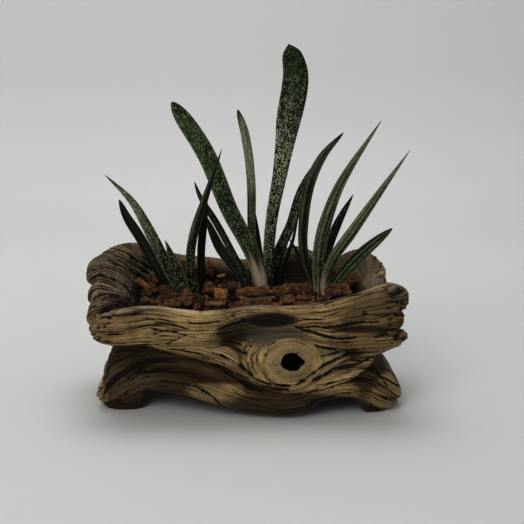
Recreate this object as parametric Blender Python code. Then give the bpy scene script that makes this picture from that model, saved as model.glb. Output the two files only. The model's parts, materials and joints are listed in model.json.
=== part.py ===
"""Potted gasteria: three small strap-leaved plants in a cast planter shaped like driftwood.

Blender 4.5, metres, +Z up. The origin is on the ground below the middle of the whole
object. The front of the planter, with the knot, faces -Y. Lengths below are written in
millimetres and are turned into metres where a vertex is placed.
"""

import math
import random

import bmesh
import bpy
from mathutils import Matrix, Vector
from mathutils.bvhtree import BVHTree

MM = 0.001
GAP = 0.35

# Moves the whole object so that its bounding box is centred over the origin.
CENTRE_SHIFT = Vector((3.4, 1.3, 0.0))

# Planter, driving dimensions
POT_HALF_LENGTH = 88.0
POT_HALF_DEPTH = 52.0
POT_CORNER = 24.0
POT_COLUMNS = 96
POT_ROWS = 27
FLOOR_TOP = 22.0
UNDERSIDE = 14.0
UNDERSIDE_RISE = 1.2
CAVITY_WAIST = 38.0
CAVITY_MOUTH = 57.0
CAVITY_LIP = 62.0
WALL_STOPS = (FLOOR_TOP, CAVITY_WAIST, CAVITY_MOUTH, CAVITY_LIP)
MOUTH = {"left": -72.0, "right": 75.0, "front": -45.0, "back": 46.0, "corner": 16.0}
FLOOR = {"left": -54.0, "right": 60.0, "front": -25.0, "back": 32.0, "corner": 12.0}
FOOT_INNER = {"left": -76.0, "right": 78.0, "front": -26.0, "back": 34.0, "corner": 6.0}
RIM_SHOULDER = 8.0
RIM_ROLL_DROP = 10.0
RIM_ROLL_REACH = 4.5
RIM_ROLL_SPREAD = 3.6
CREST_REACH = 1.0
CREST_REACH_LEFT = 8.0
CREST_REACH_RIGHT = 2.0
EDGE_TUCK = 2.5
EDGE_TUCK_HEIGHT = 5.0
FOOT_DRAW_IN = 0.1
BACK_LEAN = 0.03

# Rows of the planter's skin, from the middle of its floor to the middle of its underside
ROW_FLOOR = 2
ROW_WALL = 5
ROW_CREST = 7
ROW_SHOULDER = 9
ROW_EDGE = 21
ROW_SOLE = 23
ROW_FOOT = 24

# Rows of the outer wall lie closer at the lower edge of the front rail: (share of the way
# down, height)
RAIL_ROWS_TOP = (0.30, 51.0)
RAIL_ROWS_BOTTOM = (0.42, 45.0)

# Height of the rim's crest, as (place along the wall, height)
FRONT_RIM = [(-94, 66), (-78, 71), (-60, 72), (-43, 69.3), (-30, 68), (-18, 69.3), (0, 71.8),
             (25, 71.8), (44, 73.7), (60, 77.6), (72, 81.4), (84, 84.6), (96, 85)]
BACK_RIM = [(-94, 90), (-84, 91.5), (-70, 90), (-52, 85), (-41, 82.3), (-24, 80.8), (-6, 79.4),
            (9, 80.8), (22, 86.5), (33, 88.5), (43, 87), (53, 82.3), (63, 80), (71, 84.4),
            (79, 88), (88, 87)]
LEFT_RIM = [(-50, 65), (-30, 69), (-10, 75), (10, 81), (25, 85.5), (50, 91.5)]
RIGHT_RIM = [(-52, 85), (-36, 82), (-18, 76), (0, 73), (16, 75), (32, 81), (50, 87)]
LEFT_RIM_NOTCHES = (-41.0, -21.0, 1.0)
NOTCH_DEPTH = 4.5
NOTCH_WIDTH = 4.0

# Height of the planter's lower edge along its front, its back and its two ends
FRONT_EDGE = [(-80, 0), (-75, 0), (-67, 12), (-58, 13), (-40, 11), (-20, 6), (0, 3.5), (20, 3.5),
              (35, 6.5), (45, 11), (55, 12.5), (64, 11), (71, 5), (78, 0), (82, 0)]
BACK_EDGE = [(-80, 0), (-75, 0), (-66, 12), (-20, 9), (10, 7), (40, 10), (64, 12), (74, 0), (79, 0)]
END_EDGE = [(-26, 0), (-22, 0), (-14, 9), (14, 9), (24, 0), (28, 0)]

# Logs and branches across the front: middle height, half thickness and reach at places in x
FRONT_LOGS = {
    "top_rail": {
        "height": [(-100, 58.5), (-60, 60), (-30, 60.5), (0, 63), (20, 66.5), (40, 67), (60, 70),
                   (80, 75), (100, 77)],
        "half": [(-100, 14), (-30, 14), (10, 9), (30, 8), (50, 9), (80, 10), (100, 11)],
        "reach": [(-100, 9), (-60, 9.5), (-20, 9), (10, 4), (30, 3.5), (50, 5.5), (80, 7.5),
                  (100, 8)],
    },
    "middle_branch": {
        "height": [(40, 58), (60, 60), (80, 61.5), (100, 62)],
        "half": [(40, 4), (70, 5.5), (100, 6)],
        "reach": [(30, -8), (48, -1), (65, 3), (80, 5), (100, 6)],
    },
    "right_log": {
        "height": [(30, 52), (50, 51), (70, 49.5), (100, 48.5)],
        "half": [(30, 6), (60, 7.5), (100, 8.5)],
        "reach": [(20, -8), (38, 1), (55, 5.5), (80, 7), (100, 9)],
    },
    "flowing_branch": {
        "height": [(-75, 51), (-50, 48), (-25, 43), (-8, 36), (8, 26), (28, 20), (44, 22), (60, 29),
                   (80, 39), (100, 45)],
        "half": [(-75, 5), (-25, 8), (10, 8), (30, 7), (60, 7), (100, 6)],
        "reach": [(-75, -6), (-50, 3), (-25, 6.5), (0, 8), (25, 8), (44, 6), (60, 4), (80, 1),
                  (100, -2)],
    },
    "lower_branch": {
        "height": [(-97, 7), (-82, 11), (-62, 20), (-35, 17), (0, 11), (25, 8), (40, 11), (55, 16),
                   (70, 15), (85, 9), (98, 7)],
        "half": [(-97, 12), (-62, 10), (0, 10), (40, 9), (98, 11)],
        "reach": [(-97, -19), (-80, -17), (-62, -9), (-35, -1), (0, 6.5), (25, 8.5), (45, 5),
                  (60, 1), (75, -4), (90, -7)],
    },
}
FRONT_BACKGROUND = [(-100, -21), (-60, -16), (-30, -9), (-5, -3), (40, -3), (100, -8)]
LOG_ROUNDNESS = 1.0
BLEND_SHARPNESS = 1.1

# Knot on the front: an eye-shaped swelling with an open hole
KNOT_X = 26.0
KNOT_Z = 38.0
KNOT_HALF_LENGTH = 27.0
KNOT_HALF_HEIGHT = 14.5
KNOT_REACH = 10.5
KNOT_FALL = 7.0
HOLE_Z = 38.2
HOLE_HALF_LENGTH = 8.6
HOLE_HALF_HEIGHT = 7.0
HOLE_MOUTH_Y = -70.0
HOLE_BOTTOM_Y = -53.0
HOLE_SIDES = 9
HOLE_TAPER = 0.72

# Log ends, as (place along the end wall, height, half spread, half height, reach)
LEFT_ENDS = [(17, 80, 17, 13, 18.5), (-10, 71, 9, 9, 15), (-31, 62, 9, 9, 12.5),
             (-50, 57, 14, 11.5, 11.5), (42, 76, 13, 14, 12), (12, 60, 24, 9, 9),
             (44, 54, 14, 10, 8)]
LEFT_BACKGROUND = [(0, 7.5), (9, 8.5), (28, 0), (45, -6.5), (52, -2), (100, 0)]
RIGHT_ENDS = [(-46, 76, 15, 10, 10), (-46, 61, 17, 6.5, 7), (-46, 47.5, 20, 8, 10),
              (42, 77, 13, 12, 8), (4, 64, 24, 10, 5), (38, 52, 16, 10, 6)]
RIGHT_BACKGROUND = [(0, 8), (10, 9.5), (22, 3), (31, -5), (40, -4), (60, -2), (100, 0)]

# Logs across the back: half thickness and reach of the rail under its rim, then middle
# height, half thickness, reach and slope of the lower ones
BACK_RAIL_DROP = 16.0
BACK_RAIL = (15.0, 8.0)
BACK_LOGS = [(44, 11, 4, -0.08), (20, 12, 5, 0.05)]
BACK_BACKGROUND = -3.0
RAIL_CORNER_PUSH = 8.0
RAIL_CORNER_BOTTOM = 44.0
RAIL_CORNER_BLEND = 6.0

# Soil, mulch and the plants' short stems
SOIL_TOP = 58.0
MULCH_BOTTOM = 58.35
MULCH_TOP = 62.6
STEM_HOLE_BOTTOM = 48.0
STEM_TOP = 60.2
STEM_HOLE_TOP = 72.6
LEAF_BASE = STEM_TOP + GAP
STEMS = {
    "crown_left": {"x": -40.2, "y": 7.0, "half_x": 15.0, "half_y": 9.5},
    "crown_middle": {"x": 8.0, "y": 12.0, "half_x": 15.0, "half_y": 11.0},
    "crown_right": {"x": 48.0, "y": 9.5, "half_x": 12.0, "half_y": 10.5},
}
STEM_SQUARENESS = 3.0
FILLING_COLUMNS = 48

# Bark chips
CHIP_GRID = (13, 8)
CHIP_TRIES = 7
CHIP_SEED = 11
CHIP_LENGTH = (8.0, 15.0)
CHIP_THICKNESS = (2.0, 3.4)
CHIP_TILT = 0.42
CHIP_LOWEST = LEAF_BASE + 0.15
CHIP_HIGHEST = 70.0
CHIP_WALL_CLEARANCE = 0.8
LEAF_CLEARANCE = 0.6

# Leaves: path of the middle line from the base to the tip, greatest width, where along the
# leaf that width lies, the base's share of it, and how blunt the tip is
LEAF_SIDES = 8
LEAF_RINGS = 14
RING_CROWDING = 1.35
LEAVES = {
    "leaf_left_1": {
        "path": [(-45, 7, LEAF_BASE), (-46.5, 6, 70), (-52, 3, 81.5), (-65.5, -7.5, 113.5),
                 (-73, -13.5, 130.5), (-90, -20, 148)],
        "width": 6.6, "fullest": 0.45, "base": 0.95, "blunt": 1.3, "facing": 12, "twist": 14},
    "leaf_left_2": {
        "path": [(-49.5, 11.5, LEAF_BASE), (-51, 11.8, 69), (-57.5, 13, 75.5), (-72, 19.5, 100.5),
                 (-81, 23.5, 114), (-86, 26, 125)],
        "width": 6.8, "fullest": 0.6, "base": 0.85, "blunt": 1.7, "facing": -8, "twist": -10},
    "leaf_left_3": {
        "path": [(-43, 2.5, LEAF_BASE), (-42.5, 2.2, 70), (-44.5, -0.5, 79), (-49.5, -6.5, 93),
                 (-53.5, -12, 105)],
        "width": 6.2, "fullest": 0.35, "base": 0.9, "blunt": 1.4, "facing": 10, "twist": 8},
    "leaf_left_4": {
        "path": [(-35, 7, LEAF_BASE), (-36.5, 6.8, 71), (-38.5, 3.5, 84), (-36, -2.5, 105),
                 (-28.5, -9.5, 129), (-16.5, -20, 164)],
        "width": 6.6, "fullest": 0.35, "base": 0.9, "blunt": 1.05, "facing": -14, "twist": -25},
    "leaf_left_5": {
        "path": [(-30, 11.5, LEAF_BASE), (-31, 11, 72), (-31.3, 7.8, 94), (-29, 4.8, 115.5),
                 (-27, 3, 127)],
        "width": 4.8, "fullest": 0.5, "base": 0.9, "blunt": 1.6, "facing": 0, "twist": 8},
    "leaf_middle_1": {
        "path": [(8.5, 6, LEAF_BASE), (7, 6.4, 76), (1, 8.7, 94), (-12.5, 12.2, 119.5),
                 (-28.5, 17.4, 157), (-50, 22, 189.5)],
        "width": 10.3, "fullest": 0.5, "base": 0.92, "blunt": 3.8, "facing": 6, "twist": 8},
    "leaf_middle_2": {
        "path": [(5, 14.5, LEAF_BASE), (4.5, 15.5, 78), (1.8, 20, 103), (1.3, 26.5, 137),
                 (-2.2, 32.5, 165.5), (-7.5, 36, 183.5)],
        "width": 5.6, "fullest": 0.45, "base": 0.9, "blunt": 1.5, "facing": -10, "twist": -20},
    "leaf_middle_3": {
        "path": [(8.5, 18.6, LEAF_BASE), (8.2, 19.6, 78), (6.3, 25, 96), (4.3, 32, 115)],
        "width": 3.8, "fullest": 0.5, "base": 0.9, "blunt": 1.6, "facing": 0, "twist": 0},
    "leaf_middle_4": {
        "path": [(11.5, 10.5, LEAF_BASE), (12.3, 9.8, 85), (14.5, 8.2, 114), (20, 6.6, 145),
                 (25, 4.8, 177.5), (29.5, 3.2, 207), (25, 2, 227)],
        "width": 16.6, "fullest": 0.84, "base": 0.42, "blunt": 2.2, "facing": 4, "twist": 6},
    "leaf_middle_5": {
        "path": [(0, 6.5, LEAF_BASE), (-1.5, 7, 75), (-8.5, 9.4, 87.5), (-21, 15.2, 110),
                 (-32, 19.6, 127.5), (-36, 22, 137.5)],
        "width": 4.4, "fullest": 0.6, "base": 0.9, "blunt": 1.7, "facing": 10, "twist": 10},
    "leaf_middle_6": {
        "path": [(-1.5, 11, LEAF_BASE), (-3.5, 12, 73), (-12.5, 17.5, 84.5), (-20, 22.2, 94),
                 (-29.5, 32, 113.5)],
        "width": 6.6, "fullest": 0.5, "base": 0.85, "blunt": 1.6, "facing": 0, "twist": 8},
    "leaf_middle_7": {
        "path": [(13, 14.8, LEAF_BASE), (13.8, 16, 73), (17.5, 19, 87), (27.8, 24, 108.5),
                 (35, 29.2, 130.5), (46, 34, 151)],
        "width": 6.4, "fullest": 0.5, "base": 0.9, "blunt": 1.6, "facing": 0, "twist": -10},
    "leaf_middle_8": {
        "path": [(19, 15.6, LEAF_BASE), (20, 15.4, 69), (24, 13.5, 86), (29, 11.2, 102),
                 (33, 8, 125)],
        "width": 2.8, "fullest": 0.4, "base": 0.95, "blunt": 1.2, "facing": 0, "twist": 0},
    "leaf_middle_9": {
        "path": [(15.5, 19.4, LEAF_BASE), (16.5, 20.4, 74), (20, 24, 85), (26, 29, 95)],
        "width": 5.0, "fullest": 0.5, "base": 0.9, "blunt": 1.6, "facing": 0, "twist": 0},
    "leaf_right_1": {
        "path": [(42, 11.5, LEAF_BASE), (42.2, 11.4, 71), (37, 10, 86), (34.8, 5.5, 104.5),
                 (38, -1.8, 136.5), (46.5, -4.8, 157), (59.5, -8, 172.5)],
        "width": 6.6, "fullest": 0.6, "base": 0.85, "blunt": 1.5, "facing": 8, "twist": 18},
    "leaf_right_2": {
        "path": [(45.5, 7.4, LEAF_BASE), (45.3, 6.9, 73), (45.2, 5, 91), (49, 2.5, 112.5),
                 (59, -0.8, 140), (84, -6, 181)],
        "width": 8.8, "fullest": 0.38, "base": 0.85, "blunt": 1.1, "facing": -8, "twist": -18},
    "leaf_right_3": {
        "path": [(48.5, 12, LEAF_BASE), (49.5, 13, 74), (52.2, 18.5, 93), (59, 24, 109.5),
                 (69.5, 30, 128)],
        "width": 6.2, "fullest": 0.55, "base": 0.85, "blunt": 1.5, "facing": 0, "twist": -10},
    "leaf_right_4": {
        "path": [(49, 3.3, LEAF_BASE), (49, 2.8, 73), (53.5, -1.2, 89), (66.5, -6.8, 110),
                 (82, -13.8, 135), (100, -22, 163.5)],
        "width": 7.4, "fullest": 0.35, "base": 0.9, "blunt": 1.1, "facing": -10, "twist": -14},
    "leaf_right_5": {
        "path": [(54, 7.5, LEAF_BASE), (55.2, 7.8, 69), (60, 8.8, 76.5), (71.5, 10.8, 89),
                 (82, 12.4, 98), (94, 14, 107.5)],
        "width": 7.2, "fullest": 0.45, "base": 0.85, "blunt": 1.6, "facing": -6, "twist": -10},
    "leaf_right_6": {
        "path": [(40.5, 16.2, LEAF_BASE), (40, 17, 72), (35.7, 19.6, 81), (31, 23.1, 91.5),
                 (25.3, 26, 100.5)],
        "width": 3.2, "fullest": 0.5, "base": 0.95, "blunt": 1.3, "facing": 0, "twist": 0},
}
LEAF_THICKNESS = 3.0
LEAF_TIP_THICKNESS = 1.2
LEAF_THICKEST_SHARE = 0.62
LEAF_CUP = 0.07
LEAF_UPRIGHT_SHARE = 0.12
LEAF_TURN_SHARE = 0.33


def smooth(share):
    """Ease from 0 to 1 with a level start and end."""
    share = max(0.0, min(1.0, share))
    return share * share * (3.0 - 2.0 * share)


def blend(low, high, share):
    return low + (high - low) * share


def along_stops(stops, step):
    """Value between evenly numbered stops, at a whole or part step."""
    index = min(int(step), len(stops) - 2)
    return blend(stops[index], stops[index + 1], step - index)


def follow(points, at):
    """Height at a place of the smooth curve through (place, height) points, level past its ends."""
    if at <= points[0][0]:
        return points[0][1]
    if at >= points[-1][0]:
        return points[-1][1]
    index = 0
    while points[index + 1][0] < at:
        index += 1
    (x0, h0), (x1, h1) = points[index], points[index + 1]
    before = points[index - 1] if index > 0 else points[index]
    after = points[index + 2] if index + 2 < len(points) else points[index + 1]
    slope0 = (h1 - before[1]) / (x1 - before[0])
    slope1 = (after[1] - h0) / (after[0] - x0)
    run = x1 - x0
    t = (at - x0) / run
    return (h0 * (1 + 2 * t) * (1 - t) ** 2 + slope0 * run * t * (1 - t) ** 2
            + h1 * t * t * (3 - 2 * t) + slope1 * run * t * t * (t - 1))


def soft_highest(levels):
    """The highest of several levels, with the valleys between them rounded."""
    top = max(levels)
    total = sum(math.exp(BLEND_SHARPNESS * (level - top)) for level in levels)
    return top + math.log(total) / BLEND_SHARPNESS


def outline_stretches():
    """Straight runs and corners of the planter's outline, anticlockwise from the front's middle.

    Each is its length, the outward angle at its start and end, and its ends as shares of the
    half length and half depth.
    """
    half_run = POT_HALF_LENGTH - POT_CORNER
    half_side = POT_HALF_DEPTH - POT_CORNER
    arc = math.pi / 2 * POT_CORNER
    return [
        (half_run, -90, -90, (0, -1), (1, -1)),
        (arc, -90, 0, (1, -1), (1, -1)),
        (2 * half_side, 0, 0, (1, -1), (1, 1)),
        (arc, 0, 90, (1, 1), (1, 1)),
        (2 * half_run, 90, 90, (1, 1), (-1, 1)),
        (arc, 90, 180, (-1, 1), (-1, 1)),
        (2 * half_side, 180, 180, (-1, 1), (-1, -1)),
        (arc, 180, 270, (-1, -1), (-1, -1)),
        (half_run, 270, 270, (-1, -1), (0, -1)),
    ]


STRETCHES = outline_stretches()
OUTLINE_LENGTH = sum(stretch[0] for stretch in STRETCHES)


def around(turn):
    """Corner shares and outward normal at a turn from 0 to 1 round the outline."""
    run = (turn % 1.0) * OUTLINE_LENGTH
    for length, angle0, angle1, start, end in STRETCHES:
        if run <= length:
            break
        run -= length
    share = min(1.0, run / length)
    angle = math.radians(blend(angle0, angle1, share))
    across = blend(start[0], end[0], share)
    along = blend(start[1], end[1], share)
    return across, along, math.cos(angle), math.sin(angle)


def outward(turn):
    """Outward direction at a turn round the outline."""
    return around(turn)[2:]


def on_rectangle(turn, left, right, front, back, corner):
    """Point of a rounded rectangle at the same turn as the planter's outline."""
    across, along, normal_x, normal_y = around(turn)
    half_x = (right - left) / 2 - corner
    half_y = (back - front) / 2 - corner
    x = (left + right) / 2 + across * half_x + corner * normal_x
    y = (front + back) / 2 + along * half_y + corner * normal_y
    return x, y


def cavity(turn, height, shrink=0.0):
    """Inner wall of the planter at a height, drawn in by shrink."""
    share = max(0.0, min(1.0, (height - CAVITY_WAIST) / (CAVITY_MOUTH - CAVITY_WAIST)))
    sizes = {key: blend(FLOOR[key], MOUTH[key], share) for key in FLOOR}
    return on_rectangle(turn, sizes["left"] + shrink, sizes["right"] - shrink,
                        sizes["front"] + shrink, sizes["back"] - shrink,
                        sizes["corner"] - shrink)


def front_reach(x, z):
    """How far the front stands out from the outline, at a place and height."""
    levels = [follow(FRONT_BACKGROUND, x)]
    for log in FRONT_LOGS.values():
        half = follow(log["half"], x)
        away = (z - follow(log["height"], x)) / half
        levels.append(follow(log["reach"], x) - LOG_ROUNDNESS * half * away * away)
    knot = ((x - KNOT_X) / KNOT_HALF_LENGTH) ** 2 + ((z - KNOT_Z) / KNOT_HALF_HEIGHT) ** 2
    levels.append(KNOT_REACH - KNOT_FALL * knot)
    return soft_highest(levels)


def back_reach(x, z):
    """How far the back stands out from the outline, at a place and height."""
    half, reach = BACK_RAIL
    away = (z - follow(BACK_RIM, x) + BACK_RAIL_DROP) / half
    levels = [BACK_BACKGROUND, reach - LOG_ROUNDNESS * half * away * away]
    for height, half, reach, slope in BACK_LOGS:
        away = (z - height - slope * x) / half
        levels.append(reach - LOG_ROUNDNESS * half * away * away)
    return soft_highest(levels)


def end_reach(ends, background, y, z):
    """How far an end wall stands out from the outline, at a place and height."""
    levels = [follow(background, z)]
    for end_y, end_z, half_y, half_z, reach in ends:
        away = ((y - end_y) / half_y) ** 2 + ((z - end_z) / half_z) ** 2
        levels.append(reach - LOG_ROUNDNESS * min(half_y, half_z) * away)
    return soft_highest(levels)


def outer_reach(turn, height, bottom):
    """How far the outer wall stands out from the outline, at a turn and height."""
    x, y = base_point(turn)
    normal_x, normal_y = outward(turn)
    reach = 0.0
    if normal_y < 0:
        reach += normal_y ** 2 * front_reach(x, height)
    else:
        reach += normal_y ** 2 * back_reach(x, height)
    if normal_x < 0:
        reach += normal_x ** 2 * end_reach(LEFT_ENDS, LEFT_BACKGROUND, y, height)
    else:
        reach += normal_x ** 2 * end_reach(RIGHT_ENDS, RIGHT_BACKGROUND, y, height)
    corner = 4 * (normal_x * normal_y) ** 2
    if normal_y < 0:
        above = (height - RAIL_CORNER_BOTTOM) / RAIL_CORNER_BLEND
        reach += corner * RAIL_CORNER_PUSH * smooth(above)
    below_crest = (height - rim_height(turn) + RIM_ROLL_DROP) / RIM_ROLL_SPREAD
    reach = soft_highest([reach, crest_reach(turn) + RIM_ROLL_REACH - below_crest * below_crest])
    tuck = max(0.0, 1 - (height - bottom) / EDGE_TUCK_HEIGHT)
    return reach - EDGE_TUCK * tuck * tuck


def base_point(turn):
    return on_rectangle(turn, -POT_HALF_LENGTH, POT_HALF_LENGTH, -POT_HALF_DEPTH, POT_HALF_DEPTH,
                        POT_CORNER)


def pushed_out(turn, reach):
    """Point at a distance outside the planter's outline."""
    x, y = base_point(turn)
    normal_x, normal_y = outward(turn)
    return x + reach * normal_x, y + reach * normal_y


def rim_height(turn):
    """Height of the rim's crest at a turn."""
    x, y = base_point(turn)
    normal_x, normal_y = outward(turn)
    long_side = follow(FRONT_RIM, x) if normal_y < 0 else follow(BACK_RIM, x)
    if normal_x < 0:
        short_side = follow(LEFT_RIM, y)
        for notch in LEFT_RIM_NOTCHES:
            short_side -= NOTCH_DEPTH * math.exp(-(((y - notch) / NOTCH_WIDTH) ** 2))
    else:
        short_side = follow(RIGHT_RIM, y)
    return normal_y ** 2 * long_side + normal_x ** 2 * short_side


def crest_reach(turn):
    """Where the rim's crest lies, from the outline outward."""
    normal_x, normal_y = outward(turn)
    end = CREST_REACH_LEFT if normal_x < 0 else CREST_REACH_RIGHT
    return normal_y ** 2 * CREST_REACH + normal_x ** 2 * end


def edge_height(turn):
    """Height of the planter's lower edge at a turn: nought at the four feet."""
    x, y = base_point(turn)
    normal_x, normal_y = outward(turn)
    if abs(normal_y) > abs(normal_x):
        return max(0.0, follow(FRONT_EDGE if normal_y < 0 else BACK_EDGE, x))
    return max(0.0, follow(END_EDGE, y))


def outer_height(share, top, bottom):
    """Height down the outer wall, with more rows round the rail's lower edge."""
    stops = [(0.0, top), RAIL_ROWS_TOP, RAIL_ROWS_BOTTOM, (1.0, bottom)]
    for (share0, height0), (share1, height1) in zip(stops, stops[1:]):
        if share <= share1:
            return blend(height0, height1, (share - share0) / (share1 - share0))
    return bottom


def pot_point(turn, fall):
    """Point of the planter's skin: fall runs from the middle of its floor to its underside."""
    row = fall * POT_ROWS
    if row <= ROW_FLOOR:
        x, y = cavity(turn, FLOOR_TOP)
        share = row / ROW_FLOOR
        return x * share, y * share, FLOOR_TOP
    if row <= ROW_WALL:
        height = along_stops(WALL_STOPS, row - ROW_FLOOR)
        x, y = cavity(turn, height)
        return x, y, height
    crest = rim_height(turn)
    shoulder = crest - RIM_SHOULDER
    bottom = edge_height(turn)
    if row <= ROW_CREST:
        share = (row - ROW_WALL) / (ROW_CREST - ROW_WALL)
        inner_x, inner_y = cavity(turn, CAVITY_LIP)
        crest_x, crest_y = pushed_out(turn, crest_reach(turn))
        level = 0.5 * share + 0.5 * (1 - math.cos(share * math.pi / 2))
        rise = math.sin(share * math.pi / 2)
        return (blend(inner_x, crest_x, level), blend(inner_y, crest_y, level),
                blend(CAVITY_LIP, crest, rise))
    if row <= ROW_SHOULDER:
        share = (row - ROW_CREST) / (ROW_SHOULDER - ROW_CREST)
        reach = blend(crest_reach(turn), outer_reach(turn, shoulder, bottom),
                      math.sin(share * math.pi / 2))
        x, y = pushed_out(turn, reach)
        return x, y, blend(crest, shoulder, 1 - math.cos(share * math.pi / 2))
    if row <= ROW_EDGE:
        share = (row - ROW_SHOULDER) / (ROW_EDGE - ROW_SHOULDER)
        height = outer_height(share, shoulder, bottom)
        x, y = pushed_out(turn, outer_reach(turn, height, bottom))
        return x, y, height
    outer_x, outer_y = pushed_out(turn, outer_reach(turn, bottom, bottom))
    inner_x, inner_y = on_rectangle(turn, **FOOT_INNER)
    if row <= ROW_SOLE:
        share = (row - ROW_EDGE) / (ROW_SOLE - ROW_EDGE)
        return blend(outer_x, inner_x, share), blend(outer_y, inner_y, share), bottom
    if row <= ROW_FOOT:
        share = (row - ROW_SOLE) / (ROW_FOOT - ROW_SOLE)
        draw = 1 - FOOT_DRAW_IN * share
        return inner_x * draw, inner_y * draw, blend(bottom, UNDERSIDE, share)
    share = 1 - (row - ROW_FOOT) / (POT_ROWS - ROW_FOOT)
    rise = UNDERSIDE_RISE * (1 - share * share)
    share *= 1 - FOOT_DRAW_IN
    return inner_x * share, inner_y * share, UNDERSIDE + rise


def leaned(point):
    """Final place of a planter point: the back is set a little to the left."""
    x, y, z = point
    return x - BACK_LEAN * (y + POT_HALF_DEPTH), y, z


def to_metres(point):
    return (Vector(point) + CENTRE_SHIFT) * MM


def make_collection(name):
    collection = bpy.data.collections.new(name)
    bpy.context.scene.collection.children.link(collection)
    return collection


def clear_scene():
    for item in list(bpy.data.objects):
        bpy.data.objects.remove(item, do_unlink=True)


def make_material(name, colour, roughness):
    material = bpy.data.materials.new(name)
    material.use_nodes = True
    shader = material.node_tree.nodes["Principled BSDF"]
    shader.inputs["Base Color"].default_value = (*colour, 1.0)
    shader.inputs["Roughness"].default_value = roughness
    shader.inputs["Metallic"].default_value = 0.0
    return material


def shaped_sphere(name, collection, columns, rows, place, material):
    """A UV sphere moved to place(turn, fall): turn runs round it, fall from top to bottom."""
    shape = bmesh.new()
    bmesh.ops.create_uvsphere(shape, u_segments=columns, v_segments=rows, radius=1.0)
    for vertex in shape.verts:
        turn = math.atan2(vertex.co.y, vertex.co.x) / math.tau * columns
        fall = math.acos(max(-1.0, min(1.0, vertex.co.z))) / math.pi * rows
        vertex.co = to_metres(place(round(turn) % columns / columns, round(fall) / rows))
    face_outward(shape)
    return add_object(name, collection, shape, material)


def face_outward(shape):
    """Turn a closed shape's faces so that they all point out."""
    bmesh.ops.recalc_face_normals(shape, faces=shape.faces)
    if shape.calc_volume(signed=True) < 0:
        bmesh.ops.reverse_faces(shape, faces=shape.faces)


def add_object(name, collection, shape, material):
    mesh = bpy.data.meshes.new(name)
    shape.to_mesh(mesh)
    shape.free()
    mesh.shade_smooth()
    if material is not None:
        mesh.materials.append(material)
    item = bpy.data.objects.new(name, mesh)
    collection.objects.link(item)
    return item


def hide_as_guide(item):
    item.hide_render = True
    item.display_type = "WIRE"


def cut(item, cutter):
    """Take a cutter's shape out of an object, for good."""
    hide_as_guide(cutter)
    boolean = item.modifiers.new("cut", "BOOLEAN")
    boolean.operation = "DIFFERENCE"
    boolean.object = cutter
    boolean.solver = "EXACT"


def make_planter(parts, guides, material):
    """The cast planter with its knot hole."""
    planter = shaped_sphere("planter", parts, POT_COLUMNS, POT_ROWS,
                            lambda turn, fall: leaned(pot_point(turn, fall)), material)
    hole = bmesh.new()
    depth = HOLE_BOTTOM_Y - HOLE_MOUTH_Y
    bmesh.ops.create_cone(hole, cap_ends=True, segments=HOLE_SIDES, radius1=1.0,
                          radius2=HOLE_TAPER, depth=depth)
    # The cone's wide end is turned from -Z to -Y, to open at the front.
    turn_forward = Matrix.Rotation(math.radians(-90), 4, "X")
    for vertex in hole.verts:
        place = turn_forward @ vertex.co
        place = Vector((KNOT_X + place.x * HOLE_HALF_LENGTH,
                        (HOLE_MOUTH_Y + HOLE_BOTTOM_Y) / 2 + place.y,
                        HOLE_Z + place.z * HOLE_HALF_HEIGHT))
        vertex.co = to_metres(place)
    face_outward(hole)
    cutter = add_object("knot_hole_cutter", guides, hole, None)
    cut(planter, cutter)
    return planter


def stem_point(stem, turn, fall, bottom, top, rows, grow=0.0):
    """Point of an upright stub with a squarish oval outline and flat ends."""
    angle = turn * math.tau
    wide = math.cos(angle)
    deep = math.sin(angle)
    oval = (abs(wide) ** STEM_SQUARENESS + abs(deep) ** STEM_SQUARENESS) ** (-1 / STEM_SQUARENESS)
    row = fall * rows
    if row <= 1:
        spread, height = row, top
    elif row >= rows - 1:
        spread, height = rows - row, bottom
    else:
        spread, height = 1.0, blend(top, bottom, (row - 1) / (rows - 2))
    return (stem["x"] + wide * oval * (stem["half_x"] + grow) * spread,
            stem["y"] + deep * oval * (stem["half_y"] + grow) * spread, height)


def make_stems(parts, guides, material):
    """The plants' stems and, as guides, the plain holes that they stand in."""
    columns, rows = 20, 4
    cutters = []
    for name, stem in STEMS.items():
        shaped_sphere(name, parts, columns, rows,
                      lambda turn, fall: stem_point(stem, turn, fall, STEM_HOLE_BOTTOM + GAP,
                                                    STEM_TOP, rows), material)
        cutters.append(shaped_sphere(
            name + "_hole", guides, columns, rows,
            lambda turn, fall: stem_point(stem, turn, fall, STEM_HOLE_BOTTOM, STEM_HOLE_TOP, rows,
                                          grow=GAP), None))
    return cutters


def filling_point(turn, fall, levels):
    """Point of a filling that fits the cavity with an even gap, its levels given top first."""
    row = fall * (len(levels) + 1)
    height = along_stops(levels, max(0.0, min(len(levels) - 1.0, row - 1)))
    spread = min(1.0, row, len(levels) + 1 - row)
    x, y = cavity(turn, height, GAP)
    return x * spread, y * spread, height


def make_filling(name, parts, levels, cutters, material):
    """A bed that fills the cavity between its levels, with holes for the stems."""
    filling = shaped_sphere(name, parts, FILLING_COLUMNS, len(levels) + 1,
                            lambda turn, fall: leaned(filling_point(turn, fall, levels)), material)
    for cutter in cutters:
        cut(filling, cutter)
    return filling


def make_soil(parts, cutters, material):
    levels = (SOIL_TOP, CAVITY_MOUTH, CAVITY_WAIST, FLOOR_TOP + GAP)
    make_filling("potting_soil", parts, levels, cutters, material)


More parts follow.
